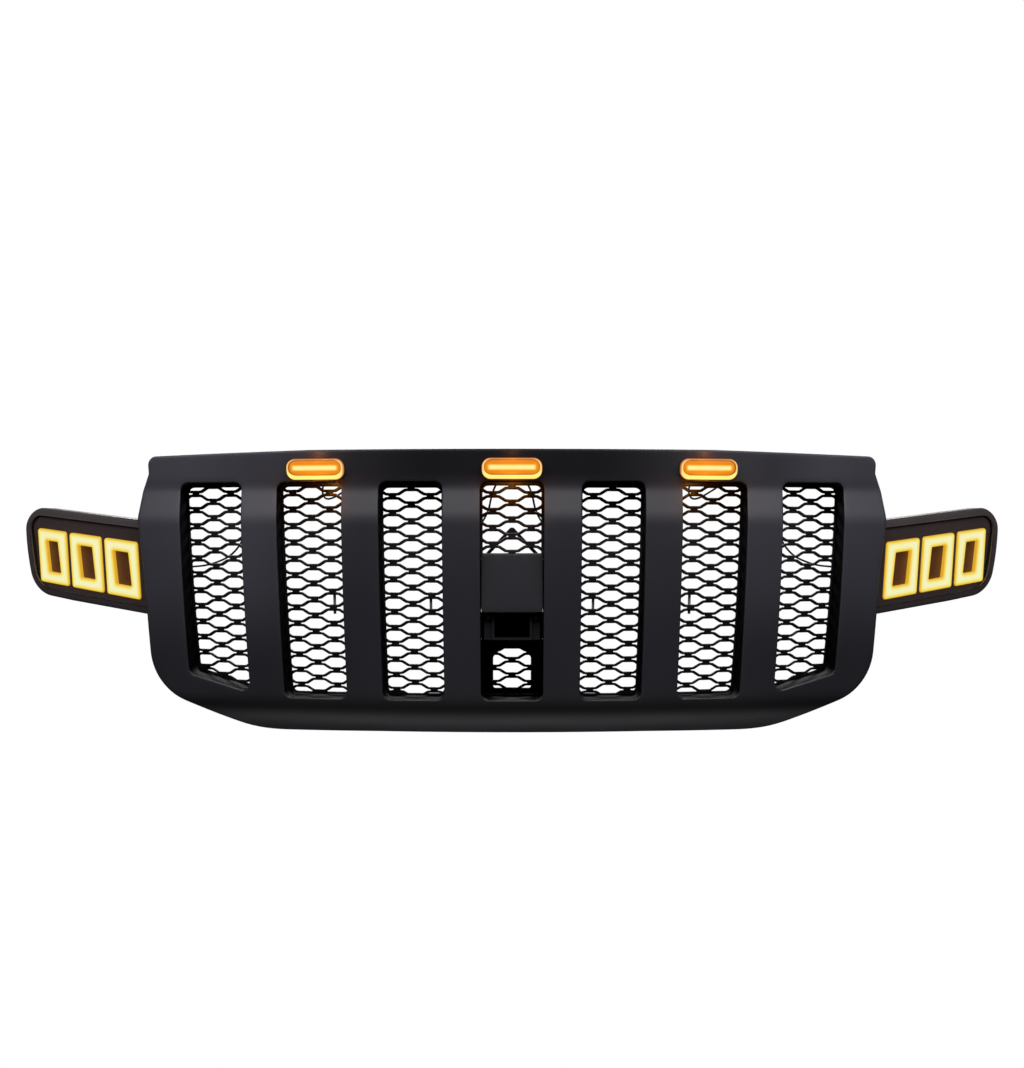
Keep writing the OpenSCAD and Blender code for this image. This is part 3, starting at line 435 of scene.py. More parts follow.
def eased(loop: Loop, surface: Surface, r: float, way: int, steps: int, deeper: int = 1) -> list[np.ndarray]:
    """Rows of points round an eased edge, from the surface to the loop's own wall.

    Args:
        loop: Outline of the wall.
        surface: The surface that the edge starts on.
        r: Radius of the edge.
        way: -1 where the material lies inside the loop, 1 where it lies outside.
        steps: Steps across the edge.
        deeper: 1 where the wall runs backwards from the surface, -1 where it runs forwards.

    Returns:
        The rows, starting on the surface.
    """
    rows = []
    for k in range(steps + 1):
        a = math.pi / 2 * k / steps
        flat = offset_loop(loop, way * r * (1 - math.sin(a)))
        rows.append(laid(flat, surface(flat[:, 0], flat[:, 1]) + deeper * r * (1 - math.cos(a))))
    return rows


# ---------------------------------------------------------------- mesh making


class Mould:
    """Collects the points and faces of one piece and turns them into an object."""

    def __init__(self, name: str, place: Placer = to_metres) -> None:
        """Start an empty mould.

        Args:
            name: Name of the piece.
            place: Turns working millimetres into frame metres.
        """
        self.name = name
        self.place = place
        self.points: list[np.ndarray] = []
        self.faces: list[tuple[int, ...]] = []
        self.count = 0

    def add(self, points: np.ndarray) -> list[int]:
        """Add points and return their indices."""
        first = self.count
        self.points.append(np.asarray(points, float))
        self.count += len(points)
        return list(range(first, self.count))

    def strip(self, a: list[int], b: list[int], closed: bool = True) -> None:
        """Join two rows of points with quads."""
        last = len(a) if closed else len(a) - 1
        for k in range(last):
            j = (k + 1) % len(a)
            self.faces.append((a[k], a[j], b[j], b[k]))

    def rows(self, rows: Sequence[np.ndarray], closed: bool = True) -> None:
        """Join a series of rows of points with quads."""
        ids = [self.add(r) for r in rows]
        for a, b in zip(ids, ids[1:]):
            self.strip(a, b, closed)

    def fill(self, loops: Sequence[Loop], surface: Surface, rows: np.ndarray, dx: float) -> None:
        """Fill the region between an outer loop and its holes, laid on a surface.

        Args:
            loops: The outer loop first, then the holes.
            surface: Depth as a function of x and z.
            rows: Heights of the rows of inner points.
            dx: Distance between the inner points of a row.
        """
        edge = np.concatenate(loops)
        lo, hi = loops[0].min(axis=0), loops[0].max(axis=0)
        grid = []
        for j, z in enumerate(rows):
            xs = np.arange(lo[0] + dx / 2 * (j % 2), hi[0], dx)
            grid.append(np.stack([xs, np.full(len(xs), z)], axis=1))
        pts = np.concatenate(grid)
        pts = pts[within(pts, loops)]
        tree = KDTree(len(edge))
        for k, p in enumerate(edge):
            tree.insert((p[0], p[1], 0), k)
        tree.balance()
        clear = [p for p in pts if tree.find((p[0], p[1], 0))[2] > 0.55 * dx]
        flat, tris = triangulated(loops, np.array(clear).reshape(-1, 2))
        self.triangles(laid(flat, surface(flat[:, 0], flat[:, 1])), tris)

    def triangles(self, points: np.ndarray, tris: np.ndarray) -> None:
        """Add points with the triangles between them."""
        base = self.add(points)[0]
        self.faces += [tuple(int(v) + base for v in t) for t in tris]

    def plate(self, outer: Loop, holes: Sequence[Loop], front: Surface, back: Surface,
              r: float, rows: np.ndarray, dx: float) -> None:
        """Add a closed plate with eased edges between a front and a back surface.

        Args:
            outer: The plate's outline.
            holes: Its holes.
            front: Depth of the front surface.
            back: Depth of the back surface.
            r: Radius of the eased edges.
            rows: Heights of the rows of inner points.
            dx: Distance between the inner points of a row.
        """
        loops = [(outer, -1)] + [(hole, 1) for hole in holes]
        shrunk = [offset_loop(loop, way * r) for loop, way in loops]
        self.fill(shrunk, front, rows, dx)
        self.fill(shrunk, back, rows, dx)
        for loop, way in loops:
            self.rows(eased(loop, front, r, way, 3) + eased(loop, back, r, way, 3, -1)[::-1])

    def finish(self, finish: Finish, smooth: float = 40, core: Callable | None = None,
               second: Finish | None = None, first_count: int = 0) -> bpy.types.Object:
        """Turn what was collected into an object.

        Args:
            finish: The finish to give it.
            smooth: Edges sharper than this many degrees stay sharp.
            core: Gives a 0 to 1 value per point, kept as the attribute "core".
            second: A second finish, for the faces after the first ones.
            first_count: How many faces keep the first finish, when there is a second.

        Returns:
            The new object.
        """
        pts = np.concatenate(self.points)
        mesh = bpy.data.meshes.new(self.name)
        mesh.from_pydata([tuple(p) for p in self.place(pts)], [], self.faces)
        if core is not None:
            layer = mesh.attributes.new("core", "FLOAT", "POINT")
            layer.data.foreach_set("value", np.asarray(core(pts), np.float32))
        if second is not None:
            index = (np.arange(len(self.faces)) >= first_count).astype(np.int32)
            mesh.polygons.foreach_set("material_index", index)
        bm = bmesh.new()
        bm.from_mesh(mesh)
        bmesh.ops.remove_doubles(bm, verts=bm.verts, dist=2e-6)
        bmesh.ops.dissolve_degenerate(bm, edges=bm.edges, dist=1e-7)
        bmesh.ops.recalc_face_normals(bm, faces=bm.faces)
        bm.to_mesh(mesh)
        bm.free()
        mesh.shade_smooth()
        mesh.set_sharp_from_angle(angle=math.radians(smooth))
        mesh.materials.append(finish.material())
        if second is not None:
            mesh.materials.append(second.material())
        obj = bpy.data.objects.new(self.name, mesh)
        bpy.context.scene.collection.objects.link(obj)
        return obj


def mirrored_copy(obj: bpy.types.Object, name: str) -> bpy.types.Object:
    """A copy of an object reflected to the other side of the grille."""
    mesh = obj.data.copy()
    mesh.transform(Matrix.Scale(-1, 4, (1, 0, 0)))
    mesh.flip_normals()
    twin = bpy.data.objects.new(name, mesh)
    bpy.context.scene.collection.objects.link(twin)
    return twin


def settle(obj: bpy.types.Object, slot: str, *nodes: str) -> None:
    """Fix a piece to the body and say which CAD nodes it stands for.

    Args:
        obj: The piece.
        slot: The record's material slot, not used.
        *nodes: The CAD nodes it replaces.
    """
    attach(obj, "root")
    if nodes:
        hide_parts(*nodes)
    log.info("%s: %d faces, stands for %s", obj.name, len(obj.data.polygons), ", ".join(nodes) or "detail")


# ---------------------------------------------------------------- finishes


class Graph:
    """A short way to write a material's nodes."""

    def __init__(self, name: str) -> None:
        """Start a material with an empty tree."""
        self.mat = bpy.data.materials.new(name)
        self.mat.use_nodes = True
        self.tree = self.mat.node_tree
        self.tree.nodes.clear()
        self.out = self.add("ShaderNodeOutputMaterial")
        self.shader = self.add("ShaderNodeBsdfPrincipled")
        self.tree.links.new(self.shader.outputs[0], self.out.inputs[0])

    def add(self, kind: str, **inputs: object) -> bpy.types.Node:
        """Add a node and set or link its inputs by name, with underscores for spaces."""
        node = self.tree.nodes.new(kind)
        for key, value in inputs.items():
            self.put(node, key.replace("_", " "), value)
        return node

    def put(self, node: bpy.types.Node, key: str, value: object) -> None:
        """Set one input, or link it when the value is an output."""
        if isinstance(value, bpy.types.NodeSocket):
            self.tree.links.new(value, node.inputs[key])
        else:
            node.inputs[key].default_value = value

    def set(self, **inputs: object) -> None:
        """Set or link the main shader's inputs."""
        for key, value in inputs.items():
            self.put(self.shader, key.replace("_", " "), value)

    def place(self) -> bpy.types.NodeSocket:
        """Place of a point in the object's own space."""
        return self.add("ShaderNodeTexCoord").outputs["Object"]

    def core(self) -> bpy.types.NodeSocket:
        """The point value "core"."""
        node = self.add("ShaderNodeAttribute")
        node.attribute_name = "core"
        return node.outputs["Fac"]

    def total(self, a: bpy.types.NodeSocket, b: bpy.types.NodeSocket) -> bpy.types.NodeSocket:
        """The sum of two values."""
        node = self.add("ShaderNodeMath")
        node.operation = "ADD"
        self.tree.links.new(a, node.inputs[0])
        self.tree.links.new(b, node.inputs[1])
        return node.outputs[0]

    def noise(self, scale: float, detail: float = 3, stretch: tuple = (1, 1, 1)) -> bpy.types.NodeSocket:
        """Noise in the object's own space."""
        place = self.place()
        if stretch != (1, 1, 1):
            place = self.add("ShaderNodeMapping", Vector=place, Scale=stretch).outputs[0]
        return self.add("ShaderNodeTexNoise", Vector=place, Scale=scale, Detail=detail).outputs[0]

    def between(self, fac: bpy.types.NodeSocket, low: float, high: float) -> bpy.types.NodeSocket:
        """A 0 to 1 value moved to a range."""
        node = self.add("ShaderNodeMapRange", Value=fac)
        node.inputs["To Min"].default_value = low
        node.inputs["To Max"].default_value = high
        return node.outputs[0]

    def ramp(self, fac: bpy.types.NodeSocket, stops: Sequence[tuple[float, tuple]]) -> bpy.types.NodeSocket:
        """A colour ramp with (position, colour) stops."""
        node = self.add("ShaderNodeValToRGB", Fac=fac)
        while len(node.color_ramp.elements) < len(stops):
            node.color_ramp.elements.new(0.5)
        for element, (at, colour) in zip(node.color_ramp.elements, stops):
            element.position = at
            element.color = (*colour, 1)
        return node.outputs[0]

    def bump(self, height: bpy.types.NodeSocket, strength: float, distance: float) -> None:
        """Give the main shader a bump."""
        node = self.add("ShaderNodeBump", Height=height, Strength=strength, Distance=distance)
        self.put(self.shader, "Normal", node.outputs[0])


@dataclass(frozen=True)
class Finish:
    """A finish that a piece can have."""

    name: str
    colour: tuple[float, float, float]
    roughness: float = 0.5

    def shade(self, k: float) -> tuple[float, ...]:
        """The colour, k times as bright."""
        return tuple(c * k for c in self.colour)

    def paint(self, graph: Graph) -> None:
        """Fill in the material's nodes."""
        graph.set(Base_Color=(*self.colour, 1), Roughness=self.roughness)

    def material(self) -> bpy.types.Material:
        """The finish's material, made on first use."""
        known = bpy.data.materials.get(self.name)
        if known:
            return known
        graph = Graph(self.name)
        self.paint(graph)
        return graph.mat


@dataclass(frozen=True)
class Moulding(Finish):
    """Moulded plastic with a fine grain and faint flow marks."""

    grain: float = 900
    grain_depth: float = 0.00006
    specular: float = 0.35
    spread: float = 0.08

    def paint(self, graph: Graph) -> None:
        """Grain in the bump, and slow changes in shade and roughness."""
        flow = graph.noise(6, 2, (1, 1, 0.35))
        graph.set(Base_Color=graph.ramp(flow, [(0.3, self.shade(0.86)), (0.7, self.shade(1.12))]))
        fine = graph.noise(self.grain, 2)
        slow = graph.between(flow, -self.spread, self.spread)
        quick = graph.between(fine, self.roughness - 0.05, self.roughness + 0.05)
        graph.set(Roughness=graph.total(slow, quick), Specular_IOR_Level=self.specular)
        graph.bump(fine, 0.35, self.grain_depth)


@dataclass(frozen=True)
class PaintedShadeMoulding(Moulding):
    """Moulded plastic whose base colour and sheen are scaled by the point value "core", which carries painted
    shade and painted highlight.
    """

    def paint(self, graph: Graph) -> None:
        """The moulding's finish, with painted shade where the value is low and painted highlight where it is
        above one.
        """
        super().paint(graph)
        # The point value carries painted shade, with painted highlight where it is above one.
        painted_shade = graph.core()
        plain = graph.shader.inputs["Base Color"].links[0].from_socket
        painted_base = graph.add("ShaderNodeVectorMath")
        painted_base.operation = "SCALE"
        graph.tree.links.new(plain, painted_base.inputs[0])
        graph.put(painted_base, "Scale", painted_shade)
        graph.set(Base_Color=painted_base.outputs[0], Specular_IOR_Level=graph.between(painted_shade, 0.0, self.specular))


@dataclass(frozen=True)
class Metal(Finish):
    """Zinc plated steel."""

    def paint(self, graph: Graph) -> None:
        """Cloudy plating with fine scratches."""
        cloud = graph.noise(180, 4)
        graph.set(Base_Color=graph.ramp(cloud, [(0.3, self.shade(0.75)), (0.7, self.colour)]), Metallic=1.0)
        worn = graph.noise(400, 3, (1, 8, 1))
        graph.set(Roughness=graph.between(worn, self.roughness - 0.1, self.roughness + 0.15))
        graph.bump(graph.noise(900, 2, (1, 6, 1)), 0.3, 0.00004)


@dataclass(frozen=True)
class Board(Finish):
    """A circuit board with pads and tracks, which may carry a painted glow standing in for the lamps' light
    falling on it.
    """

    light: tuple[float, float, float] = (0, 0, 0)

    def paint(self, graph: Graph) -> None:
        """Pads and tracks under the mask."""
        cells = graph.add("ShaderNodeTexVoronoi", Vector=graph.place(), Scale=220).outputs["Distance"]
        pads = graph.ramp(cells, [(0.08, self.shade(0.7)), (0.16, self.colour)])
        graph.set(Base_Color=pads, Roughness=self.roughness)
        # Painted glow: the emission stands in for light that the lit frames throw on the board.
        graph.set(Emission_Color=(*self.light, 1), Emission_Strength=1.0 if any(self.light) else 0.0)
        graph.bump(cells, 0.2, 0.00005)


@dataclass(frozen=True)
class Sleeve(Finish):
    """Cloth tape wound round a loom."""

    def paint(self, graph: Graph) -> None:
        """Overlapping turns of woven tape."""
        node = graph.add("ShaderNodeTexWave", Vector=graph.place(), Scale=60, Distortion=1.5, Detail=2)
        wave = node.outputs["Fac"]
        turns = graph.ramp(wave, [(0.3, self.colour), (0.8, self.shade(1.6))])
        graph.set(Base_Color=turns, Roughness=self.roughness)
        graph.bump(wave, 0.5, 0.0002)


@dataclass(frozen=True)
class Glow(Finish):
    """A lit light guide, with its colours running from its edge to its core."""

    stops: tuple = ()
    strength: float = 1.0

    def paint(self, graph: Graph) -> None:
        """Emission by the point value "core", over a pale diffuser."""
        ripple = graph.between(graph.noise(70, 2), -0.06, 0.06)
        colour = graph.ramp(graph.total(graph.core(), ripple), self.stops)
        graph.set(Base_Color=(*self.colour, 1), Roughness=self.roughness, Emission_Color=colour,
                  Emission_Strength=self.strength)


@dataclass(frozen=True)
class ClearPart(Finish):
    """A clear coloured lens."""

    alpha: float = 0.3
    light: tuple[float, float, float] = (0, 0, 0)
    strength: float = 0.0
    coat: float = 0.5

    def paint(self, graph: Graph) -> None:
        """Tinted film with polished gloss and faint moulding waves."""
        wave = graph.noise(14, 2)
        tint = graph.ramp(wave, [(0.35, self.shade(0.85)), (0.65, self.colour)])
        graph.set(Base_Color=tint, Alpha=self.alpha)
        graph.set(Roughness=graph.between(wave, self.roughness, self.roughness + 0.05))
        graph.set(Coat_Weight=self.coat, Coat_Roughness=0.04, Emission_Color=(*self.light, 1))
        graph.set(Emission_Strength=self.strength)
        graph.bump(wave, 0.15, 0.0004)


# The bezel's colour and sheen carry painted shade and painted highlight, given per point by its shade values.
BEZEL = PaintedShadeMoulding("bezel_black", (0.024, 0.0235, 0.030), 0.5, grain=700, specular=0.3)
MESH = Moulding("mesh_black", (0.016, 0.016, 0.019), 0.38, grain=900, specular=0.45)
BADGE = Moulding("badge_grey", (0.026, 0.0255, 0.031), 0.45, grain=1200, specular=0.3)
HOUSING = Moulding("housing_black", (0.012, 0.012, 0.013), 0.5, grain=800)
MASK = Moulding("mask_black", (0.058, 0.040, 0.040), 0.5, grain=1500, specular=0.25)
POCKET = Moulding("pocket_black", (0.006, 0.006, 0.008), 0.6, grain=900, specular=0.25)
CLIP = Moulding("clip_black", (0.02, 0.02, 0.02), 0.45)
NYLON = Moulding("clip_nylon", (0.30, 0.30, 0.29), 0.5, grain=600)
RUBBER = Moulding("seal_rubber", (0.012, 0.012, 0.012), 0.75, grain=1200, specular=0.2)
ZINC = Metal("zinc_plate", (0.55, 0.56, 0.58), 0.35)
# Painted light: the pale board's colour is tinted amber and given a glow, standing in for the lit frames'
# light.
AMBER_LIT_BOARD = Board("board_mask", (0.06, 0.02, 0.008), 0.45, light=(0.040, 0.012, 0.003))
GREEN_BOARD = Board("board_green", (0.03, 0.16, 0.07), 0.4)
TAPE = Sleeve("loom_tape", (0.016, 0.016, 0.017), 0.8)
LEAD = Moulding("lead_black", (0.015, 0.015, 0.016), 0.35, grain=300, specular=0.5)
GLOSS_BLACK = Moulding("lens_border_black", (0.052, 0.041, 0.043), 0.28, grain=1500, grain_depth=0.00001,
                       specular=0.5, spread=0.03)
RING_GLOW = Glow("wing_glow", (0.05, 0.04, 0.02), 0.4, strength=1.0, stops=(
    (0.0, (0.80, 0.40, 0.015)), (0.3, (0.97, 0.66, 0.055)), (0.65, (1.0, 0.90, 0.26)),
    (1.0, (1.0, 0.98, 0.58))))
BAR_GLOW = Glow("marker_glow", (0.05, 0.03, 0.01), 0.4, strength=1.0, stops=(
    (0.0, (0.36, 0.10, 0.0)), (0.25, (0.74, 0.20, 0.002)), (0.55, (0.88, 0.38, 0.012)),
    (1.0, (1.0, 0.95, 0.36))))
RIM_GLOW = Glow("marker_rim_glow", (0.05, 0.02, 0.01), 0.25, strength=1.0, stops=(
    (0.0, (0.30, 0.09, 0.0)), (0.36, (0.76, 0.29, 0.08)), (0.72, (1.0, 0.73, 0.26)),
    (1.0, (1.0, 0.93, 0.18))))
AMBER = ClearPart("amber_film", (0.9, 0.26, 0.01), 0.08, alpha=0.08, light=(1.0, 0.30, 0.01), strength=0.02)
SMOKE = ClearPart("smoked_film", (0.02, 0.013, 0.010), 0.10, alpha=0.06, coat=0.15)


# ---------------------------------------------------------------- the bezel


@dataclass
class Bezel:
    """The one-piece moulded body with its slots, return walls, ribs, bosses and tabs."""

    slot_edge_r: float = 2.2
    rim_edge_r: float = 3.5
    column_step: float = 6.0
    bore_r: float = 2.05
    bore_depth: float = 12
    fixing_r: float = 4.25
    tab_w: float = 34
    tab_t: float = 3

    def slots(self) -> list[Loop]:
        """Outlines of all seven slots."""
        out = [slot_loop(0)]
        for i in range(1, SLOT_COUNT):
            right = slot_loop(i)
            out += [right, anticlockwise(right * [-1, 1])]
        return [resampled(loop, 6) for loop in out]

    def rows(self) -> np.ndarray:
        """Heights of the rows of face points, closer together where the face rolls under."""
        steps = np.linalg.norm(np.diff(PROFILE, axis=0), axis=1)
        along = np.concatenate([[0], np.cumsum(steps)])
        return np.interp(np.arange(0, along[-1], 5.0), along, PROFILE[:, 1])

    def build(self) -> None:
        """Make the bezel and fix it in place."""
        mould = Mould("bezel_body")
        rim = resampled(body_loop(), 6)
        slots = self.slots()
        rows = self.rows()
        mould.fill([offset_loop(rim, -self.rim_edge_r)] + [offset_loop(s, self.slot_edge_r) for s in slots],
                   face_y, rows, self.column_step)
        mould.fill([offset_loop(rim, -S.wall)] + [offset_loop(s, S.wall) for s in slots],
                   inner_y, rows[::2], 2 * self.column_step)
        self.wall(mould, rim, self.rim_edge_r, -1)
        for slot in slots:
            self.wall(mould, slot, self.slot_edge_r, 1)
        self.add_bosses(mould)
        self.add_ribs(mould)
        self.add_tabs(mould)
        settle(mould.finish(BEZEL, 42, self.painted_shade), "bezel_plastic", "bezel")

    def painted_shade(self, p: np.ndarray) -> np.ndarray:
        """Painted shade and painted highlight of the moulding: darkest on the rail's middle, down the slots'
        walls and along the sill's crease, lighter on the outer face and the rail's ends.
        """
        x, z = np.abs(p[:, 0]), p[:, 2]
        rail, middle, out, high, end = (v * v * (3 - 2 * v) for v in (
            np.clip((z + 62) / 30, 0, 1), np.clip((310 - x) / 200, 0, 1), np.clip((x - 210) / 160, 0, 1),
            np.clip((z + 330) / 150, 0, 1), np.clip((x - 380) / 130, 0, 1)))
        # Painted shade darkens the rail's middle; painted highlight lifts the outer face and the rail's ends.
        shade = (1 - 0.60 * rail * middle) * (1 + 0.85 * out * high + 0.8 * rail * end)
        # Painted shade along the sill's crease, just below the slots.
        shade *= 1 - 0.68 * np.exp(-((z - S.slot_bottom_z + 14) / 14) ** 2)
        # Painted shade: the slots' return walls darken with depth behind the face.
        deep = np.clip((p[:, 1] - face_y(p[:, 0], z) - 1.2) / 1.5, 0, 1)
        near = np.flatnonzero((deep > 0) & (z < 6 - S.slot_top) & (z > S.slot_bottom_z - 6))
        walls = edge_distance(p[near][:, [0, 2]], self.slots()) < 1.5
        shade[near[walls]] *= 1 - 0.96 * deep[near[walls]]
        return shade

    def wall(self, mould: Mould, loop: Loop, r: float, way: int) -> None:
        """Add an eased edge and the return wall behind it, with its far side.

        Args:
            mould: The mould to add to.
            loop: Outline of the wall.
            r: Radius of the eased edge.
            way: -1 where the material lies inside the loop, 1 where it lies outside.
        """
        rings = eased(loop, face_y, r, way, 4)
        start = rings[-1][:, 1]
        rear = np.maximum(seat_y(loop[:, 0], loop[:, 1]), start + 4)
        for t in (0.05, 0.25, 0.5, 0.75, 0.985, 1.0):
            flat = loop if t < 1 else offset_loop(loop, way * 0.6)
            rings.append(laid(flat, start + (rear - start) * t))
        far = offset_loop(loop, way * S.wall)
        near = np.maximum(inner_y(far[:, 0], far[:, 1]), face_y(far[:, 0], far[:, 1]))
        near = np.minimum(near, rear - 1)
        mould.rows(rings + [laid(far, y) for y in (rear, (near + rear) / 2, near)])

    def add_bosses(self, mould: Mould) -> None:
        """Add the screw bosses beside the slots."""
        for x, z in screw_places():
            top = float(inner_y(np.array(x), np.array(z)))
            end = float(seat_y(np.array(x), np.array(z)))
            for side in (-1, 1):
                ring, bore = circle(side * x, z, S.boss_r), circle(side * x, z, self.bore_r)
                mould.rows([laid(ring, y) for y in (top - 1, end - 0.5, end)]
                           + [laid(bore, y) for y in (end, end - self.bore_depth)])

    def add_ribs(self, mould: Mould) -> None:
        """Add the upright ribs inside the bars."""
        for side in (-1, 1):
            for i in range(3):
                x = side * (slot_outer(i) + S.bar_w / 2)
                zs = np.linspace(-S.body_h + 2, -S.slot_top - 6, 30)
                rows = []
                for dx, near in ((-1, True), (-1, False), (1, False), (1, True)):
                    xs = np.full(len(zs), x + dx)
                    y = inner_y(xs, zs) - 1 if near else seat_y(xs, zs)
                    rows.append(np.stack([xs, y, zs], axis=1))
                mould.rows(rows + [rows[0]], closed=False)

    def add_tabs(self, mould: Mould) -> None:
        """Add the fixing tabs, each with its hole."""
        def level(x: float, depth: float) -> float:
            """Depth at x of a surface given by its depth on the centre line."""
            return float(crowned(np.array(x), np.array(depth)))

        drop = 6 * (440 - S.half_w + 273) / 259 + 0.4
        spots = [(200, 95, 0, level(200, 40)), (440, level(440, 72), -drop, level(440, 22)),
                 (150, level(150, 124), -S.body_h + S.sill_arch + 3, level(150, 106))]
        for x, y, z, y0 in spots:
            for side in (-1, 1):
                w = self.tab_w / 2
                flat = rounded([(-w, y0 - y, 0), (w, y0 - y, 0), (w, 14, 5), (-w, 14, 5)], 6) + [side * x, y]
                self.flat_tab(mould, flat, circle(side * x, y, self.fixing_r, 32), z)

    def flat_tab(self, mould: Mould, flat: Loop, hole: Loop, z: float) -> None:
        """Add one level tab with a hole.

        Args:
            mould: The mould to add to.
            flat: Outline in x and y.
            hole: Outline of the hole in x and y.
            z: Height of its upper face.
        """
        pts, tris = triangulated([flat, hole], np.zeros((0, 2)))
        for level in (z, z - self.tab_t):
            mould.triangles(np.column_stack([pts, np.full(len(pts), level)]), tris)
        for loop in (flat, hole):
            mould.rows([np.column_stack([loop, np.full(len(loop), level)]) for level in (z, z - self.tab_t)])


SIDE_LEVELS = (-84.5, -(S.slot_top + S.slot_h * 0.82))
CENTRE_LEVELS = (-70, -125, -172, -222, -257, -298, -342)


def beside(i: int, z: float) -> list[tuple[float, float]]:
    """Places of the two screws beside slot i at height z."""
    return [(fanned(slot_edge(i, k), z) + 7 * k, z) for k in (-1, 1)]


def screw_places() -> list[tuple[float, float]]:
    """Places of the small screws beside the slots, on the right-hand side."""
    out = [place for i in range(1, SLOT_COUNT) for z in SIDE_LEVELS for place in beside(i, z)]
    return out + [beside(0, z)[1] for z in CENTRE_LEVELS]


# ---------------------------------------------------------------- the mesh inserts


@dataclass
class MeshInsert:
    """One curved mesh insert behind a slot."""

    slot_index: int
    screws: list[tuple[float, float]]
    high: float = 20.0
    low: float = -900.0
    strand_r: float = 1.3
    rise: float = 0.0
    shifts: tuple[float, ...] = (0, 1.4, 3, 6)
    heads: tuple[float, ...] = (2.5, 5.5, 3, 3)

    def cell(self) -> Loop:
        """One opening: a long hexagon whose tips run on as slits."""
        flat, slit = 8.2, 0.6
        tip = S.cell_pitch_x - S.joint_l / 2
        high = (S.cell_pitch_z - S.joint_h) / 2
        a, b, w2 = S.cell_pitch_z / 2 - 2 * high, S.cell_pitch_x - 2 * flat, S.strand_w**2
        slope = (math.sqrt(a * a * b * b - (b * b - w2) * (a * a - w2)) - a * b) / (b * b - w2)
        knee = flat + (high - 2 * slit) / slope
        quarter = [(tip, slit), (knee, 2 * slit), (flat, high)]
        top = quarter + [(-x, z) for x, z in reversed(quarter)]
        return anticlockwise(np.array(top + [(x, -z) for x, z in reversed(top)]))

    def row_z(self, k: float) -> float:
        """Height of a row."""
        return self.rise - 62.5 - S.seat_r * math.sin(k * S.cell_pitch_z / S.seat_r)

    def cells(self, bound: Loop) -> list[Loop]:
        """All openings, cut to the frame."""
        out = []
        i = self.slot_index
        for col in range(-2, 3):
            for k in range(-1, 16):
                z = self.row_z(k + (0.5 if col % 2 else 0))
                if not S.slot_bottom_z - S.cell_pitch_z < z < -S.slot_top + S.cell_pitch_z:
                    continue
                mid = fanned((slot_edge(i, 1) + slot_edge(i, -1)) / 2, z)
                loop = clipped(self.cell() + [mid + self.shifts[i] + col * S.cell_pitch_x, z], bound)
                if loop is not None:
                    out.append(softened(loop, 1.5))
        return out

    def build(self, name: str) -> bpy.types.Object:
        """Make the insert.

        Args:
            name: Name of the piece.

        Returns:
            The insert's object.
        """
        slot = slot_loop(self.slot_index)
        outer, inner = offset_loop(slot, S.flange_w), offset_loop(slot, -S.frame_w)
        bound = clipped(inner, inner - [0, self.heads[self.slot_index]])
        if self.low > -S.body_h or self.high < 0:
            box = np.array([(-600, self.low), (600, self.low), (600, self.high), (-600, self.high)])
            outer, bound = clipped(outer, box), clipped(bound, offset_loop(box, -S.frame_w))
        mould = Mould(name)
        rows = np.arange(S.slot_bottom_z - 10, -S.slot_top + 10, 5.0)
        mould.plate(resampled(outer, 5), self.cells(bound), seat_y, lambda x, z: seat_y(x, z, S.mesh_t),
                    self.strand_r, rows, 5.0)
        self.add_ears(mould)
        return mould.finish(MESH, 50)

    def add_ears(self, mould: Mould) -> None:
        """Add the round screw ears."""
        shape = ((2.3, 0), (5.6, 0), (6.2, 0.6), (6.2, 6.6), (5.0, 8.0), (2.6, 8.0), (2.3, 7.6), (2.3, 0))
        for x, z in self.screws:
            end = float(seat_y(np.array(x), np.array(z)))
            mould.rows([laid(circle(x, z, r), end + y) for r, y in shape])


@dataclass
class Inserts:
    """The eight mesh inserts, two of them in the middle slot."""

    inner_rise: float = -5.5
    upper_rise: float = -3
    upper_low: float = -156
    lower_rise: float = 6.5
    lower_high: float = -283

    def build(self) -> None:
        """Make every insert and fix it in place."""
        for i, word in enumerate(("inner", "middle", "outer"), start=1):
            places = [place for z in SIDE_LEVELS for place in beside(i, z)]
            insert = MeshInsert(i, places, rise=self.inner_rise if i == 1 else 0)
            right = insert.build(f"mesh_panel_right_{word}")
            left = mirrored_copy(right, f"mesh_panel_left_{word}")
            settle(right, "mesh_plastic", f"mesh_right_{word}")
            settle(left, "mesh_plastic", f"mesh_left_{word}")
        upper = MeshInsert(0, self.centre_places(0, 1), low=self.upper_low, rise=self.upper_rise)
        settle(upper.build("mesh_panel_centre_upper"), "mesh_plastic", "mesh_centre_upper")
        lower = MeshInsert(0, self.centre_places(5, 6), high=self.lower_high, rise=self.lower_rise)
        settle(lower.build("mesh_panel_centre_lower"), "mesh_plastic", "mesh_centre_lower")

    @staticmethod
    def centre_places(*levels: int) -> list[tuple[float, float]]:
        """Places of the screws at some of the middle slot's levels."""
        return [place for k in levels for place in beside(0, CENTRE_LEVELS[k])]


# ---------------------------------------------------------------- badge plate


@dataclass
class Badge:
    """The blank badge plate in the middle slot."""

    top: float = -153.5
    bottom: float = -238.5
    side_gap: float = 1.5
    corner_r: float = 2
    edge_r: float = 0.7
    front_y: float = 12.0
    back_y: float = 15.0

    def build(self) -> None:
        """Make the plate and fix it in place."""
        w, r = fanned(S.slot_w / 2, self.bottom) - self.side_gap, self.corner_r
        loop = rounded([(-w, self.bottom, r), (w, self.bottom, r), (w, self.top, r), (-w, self.top, r)], 5)
        mould = Mould("badge_blank")
        mould.plate(resampled(loop, 6), [], level_at(self.front_y), level_at(self.back_y), self.edge_r,
                    np.arange(self.bottom, self.top, 8), 8)
        settle(mould.finish(BADGE, 50), "badge_plastic", "badge_plate")


# ---------------------------------------------------------------- marker lamps


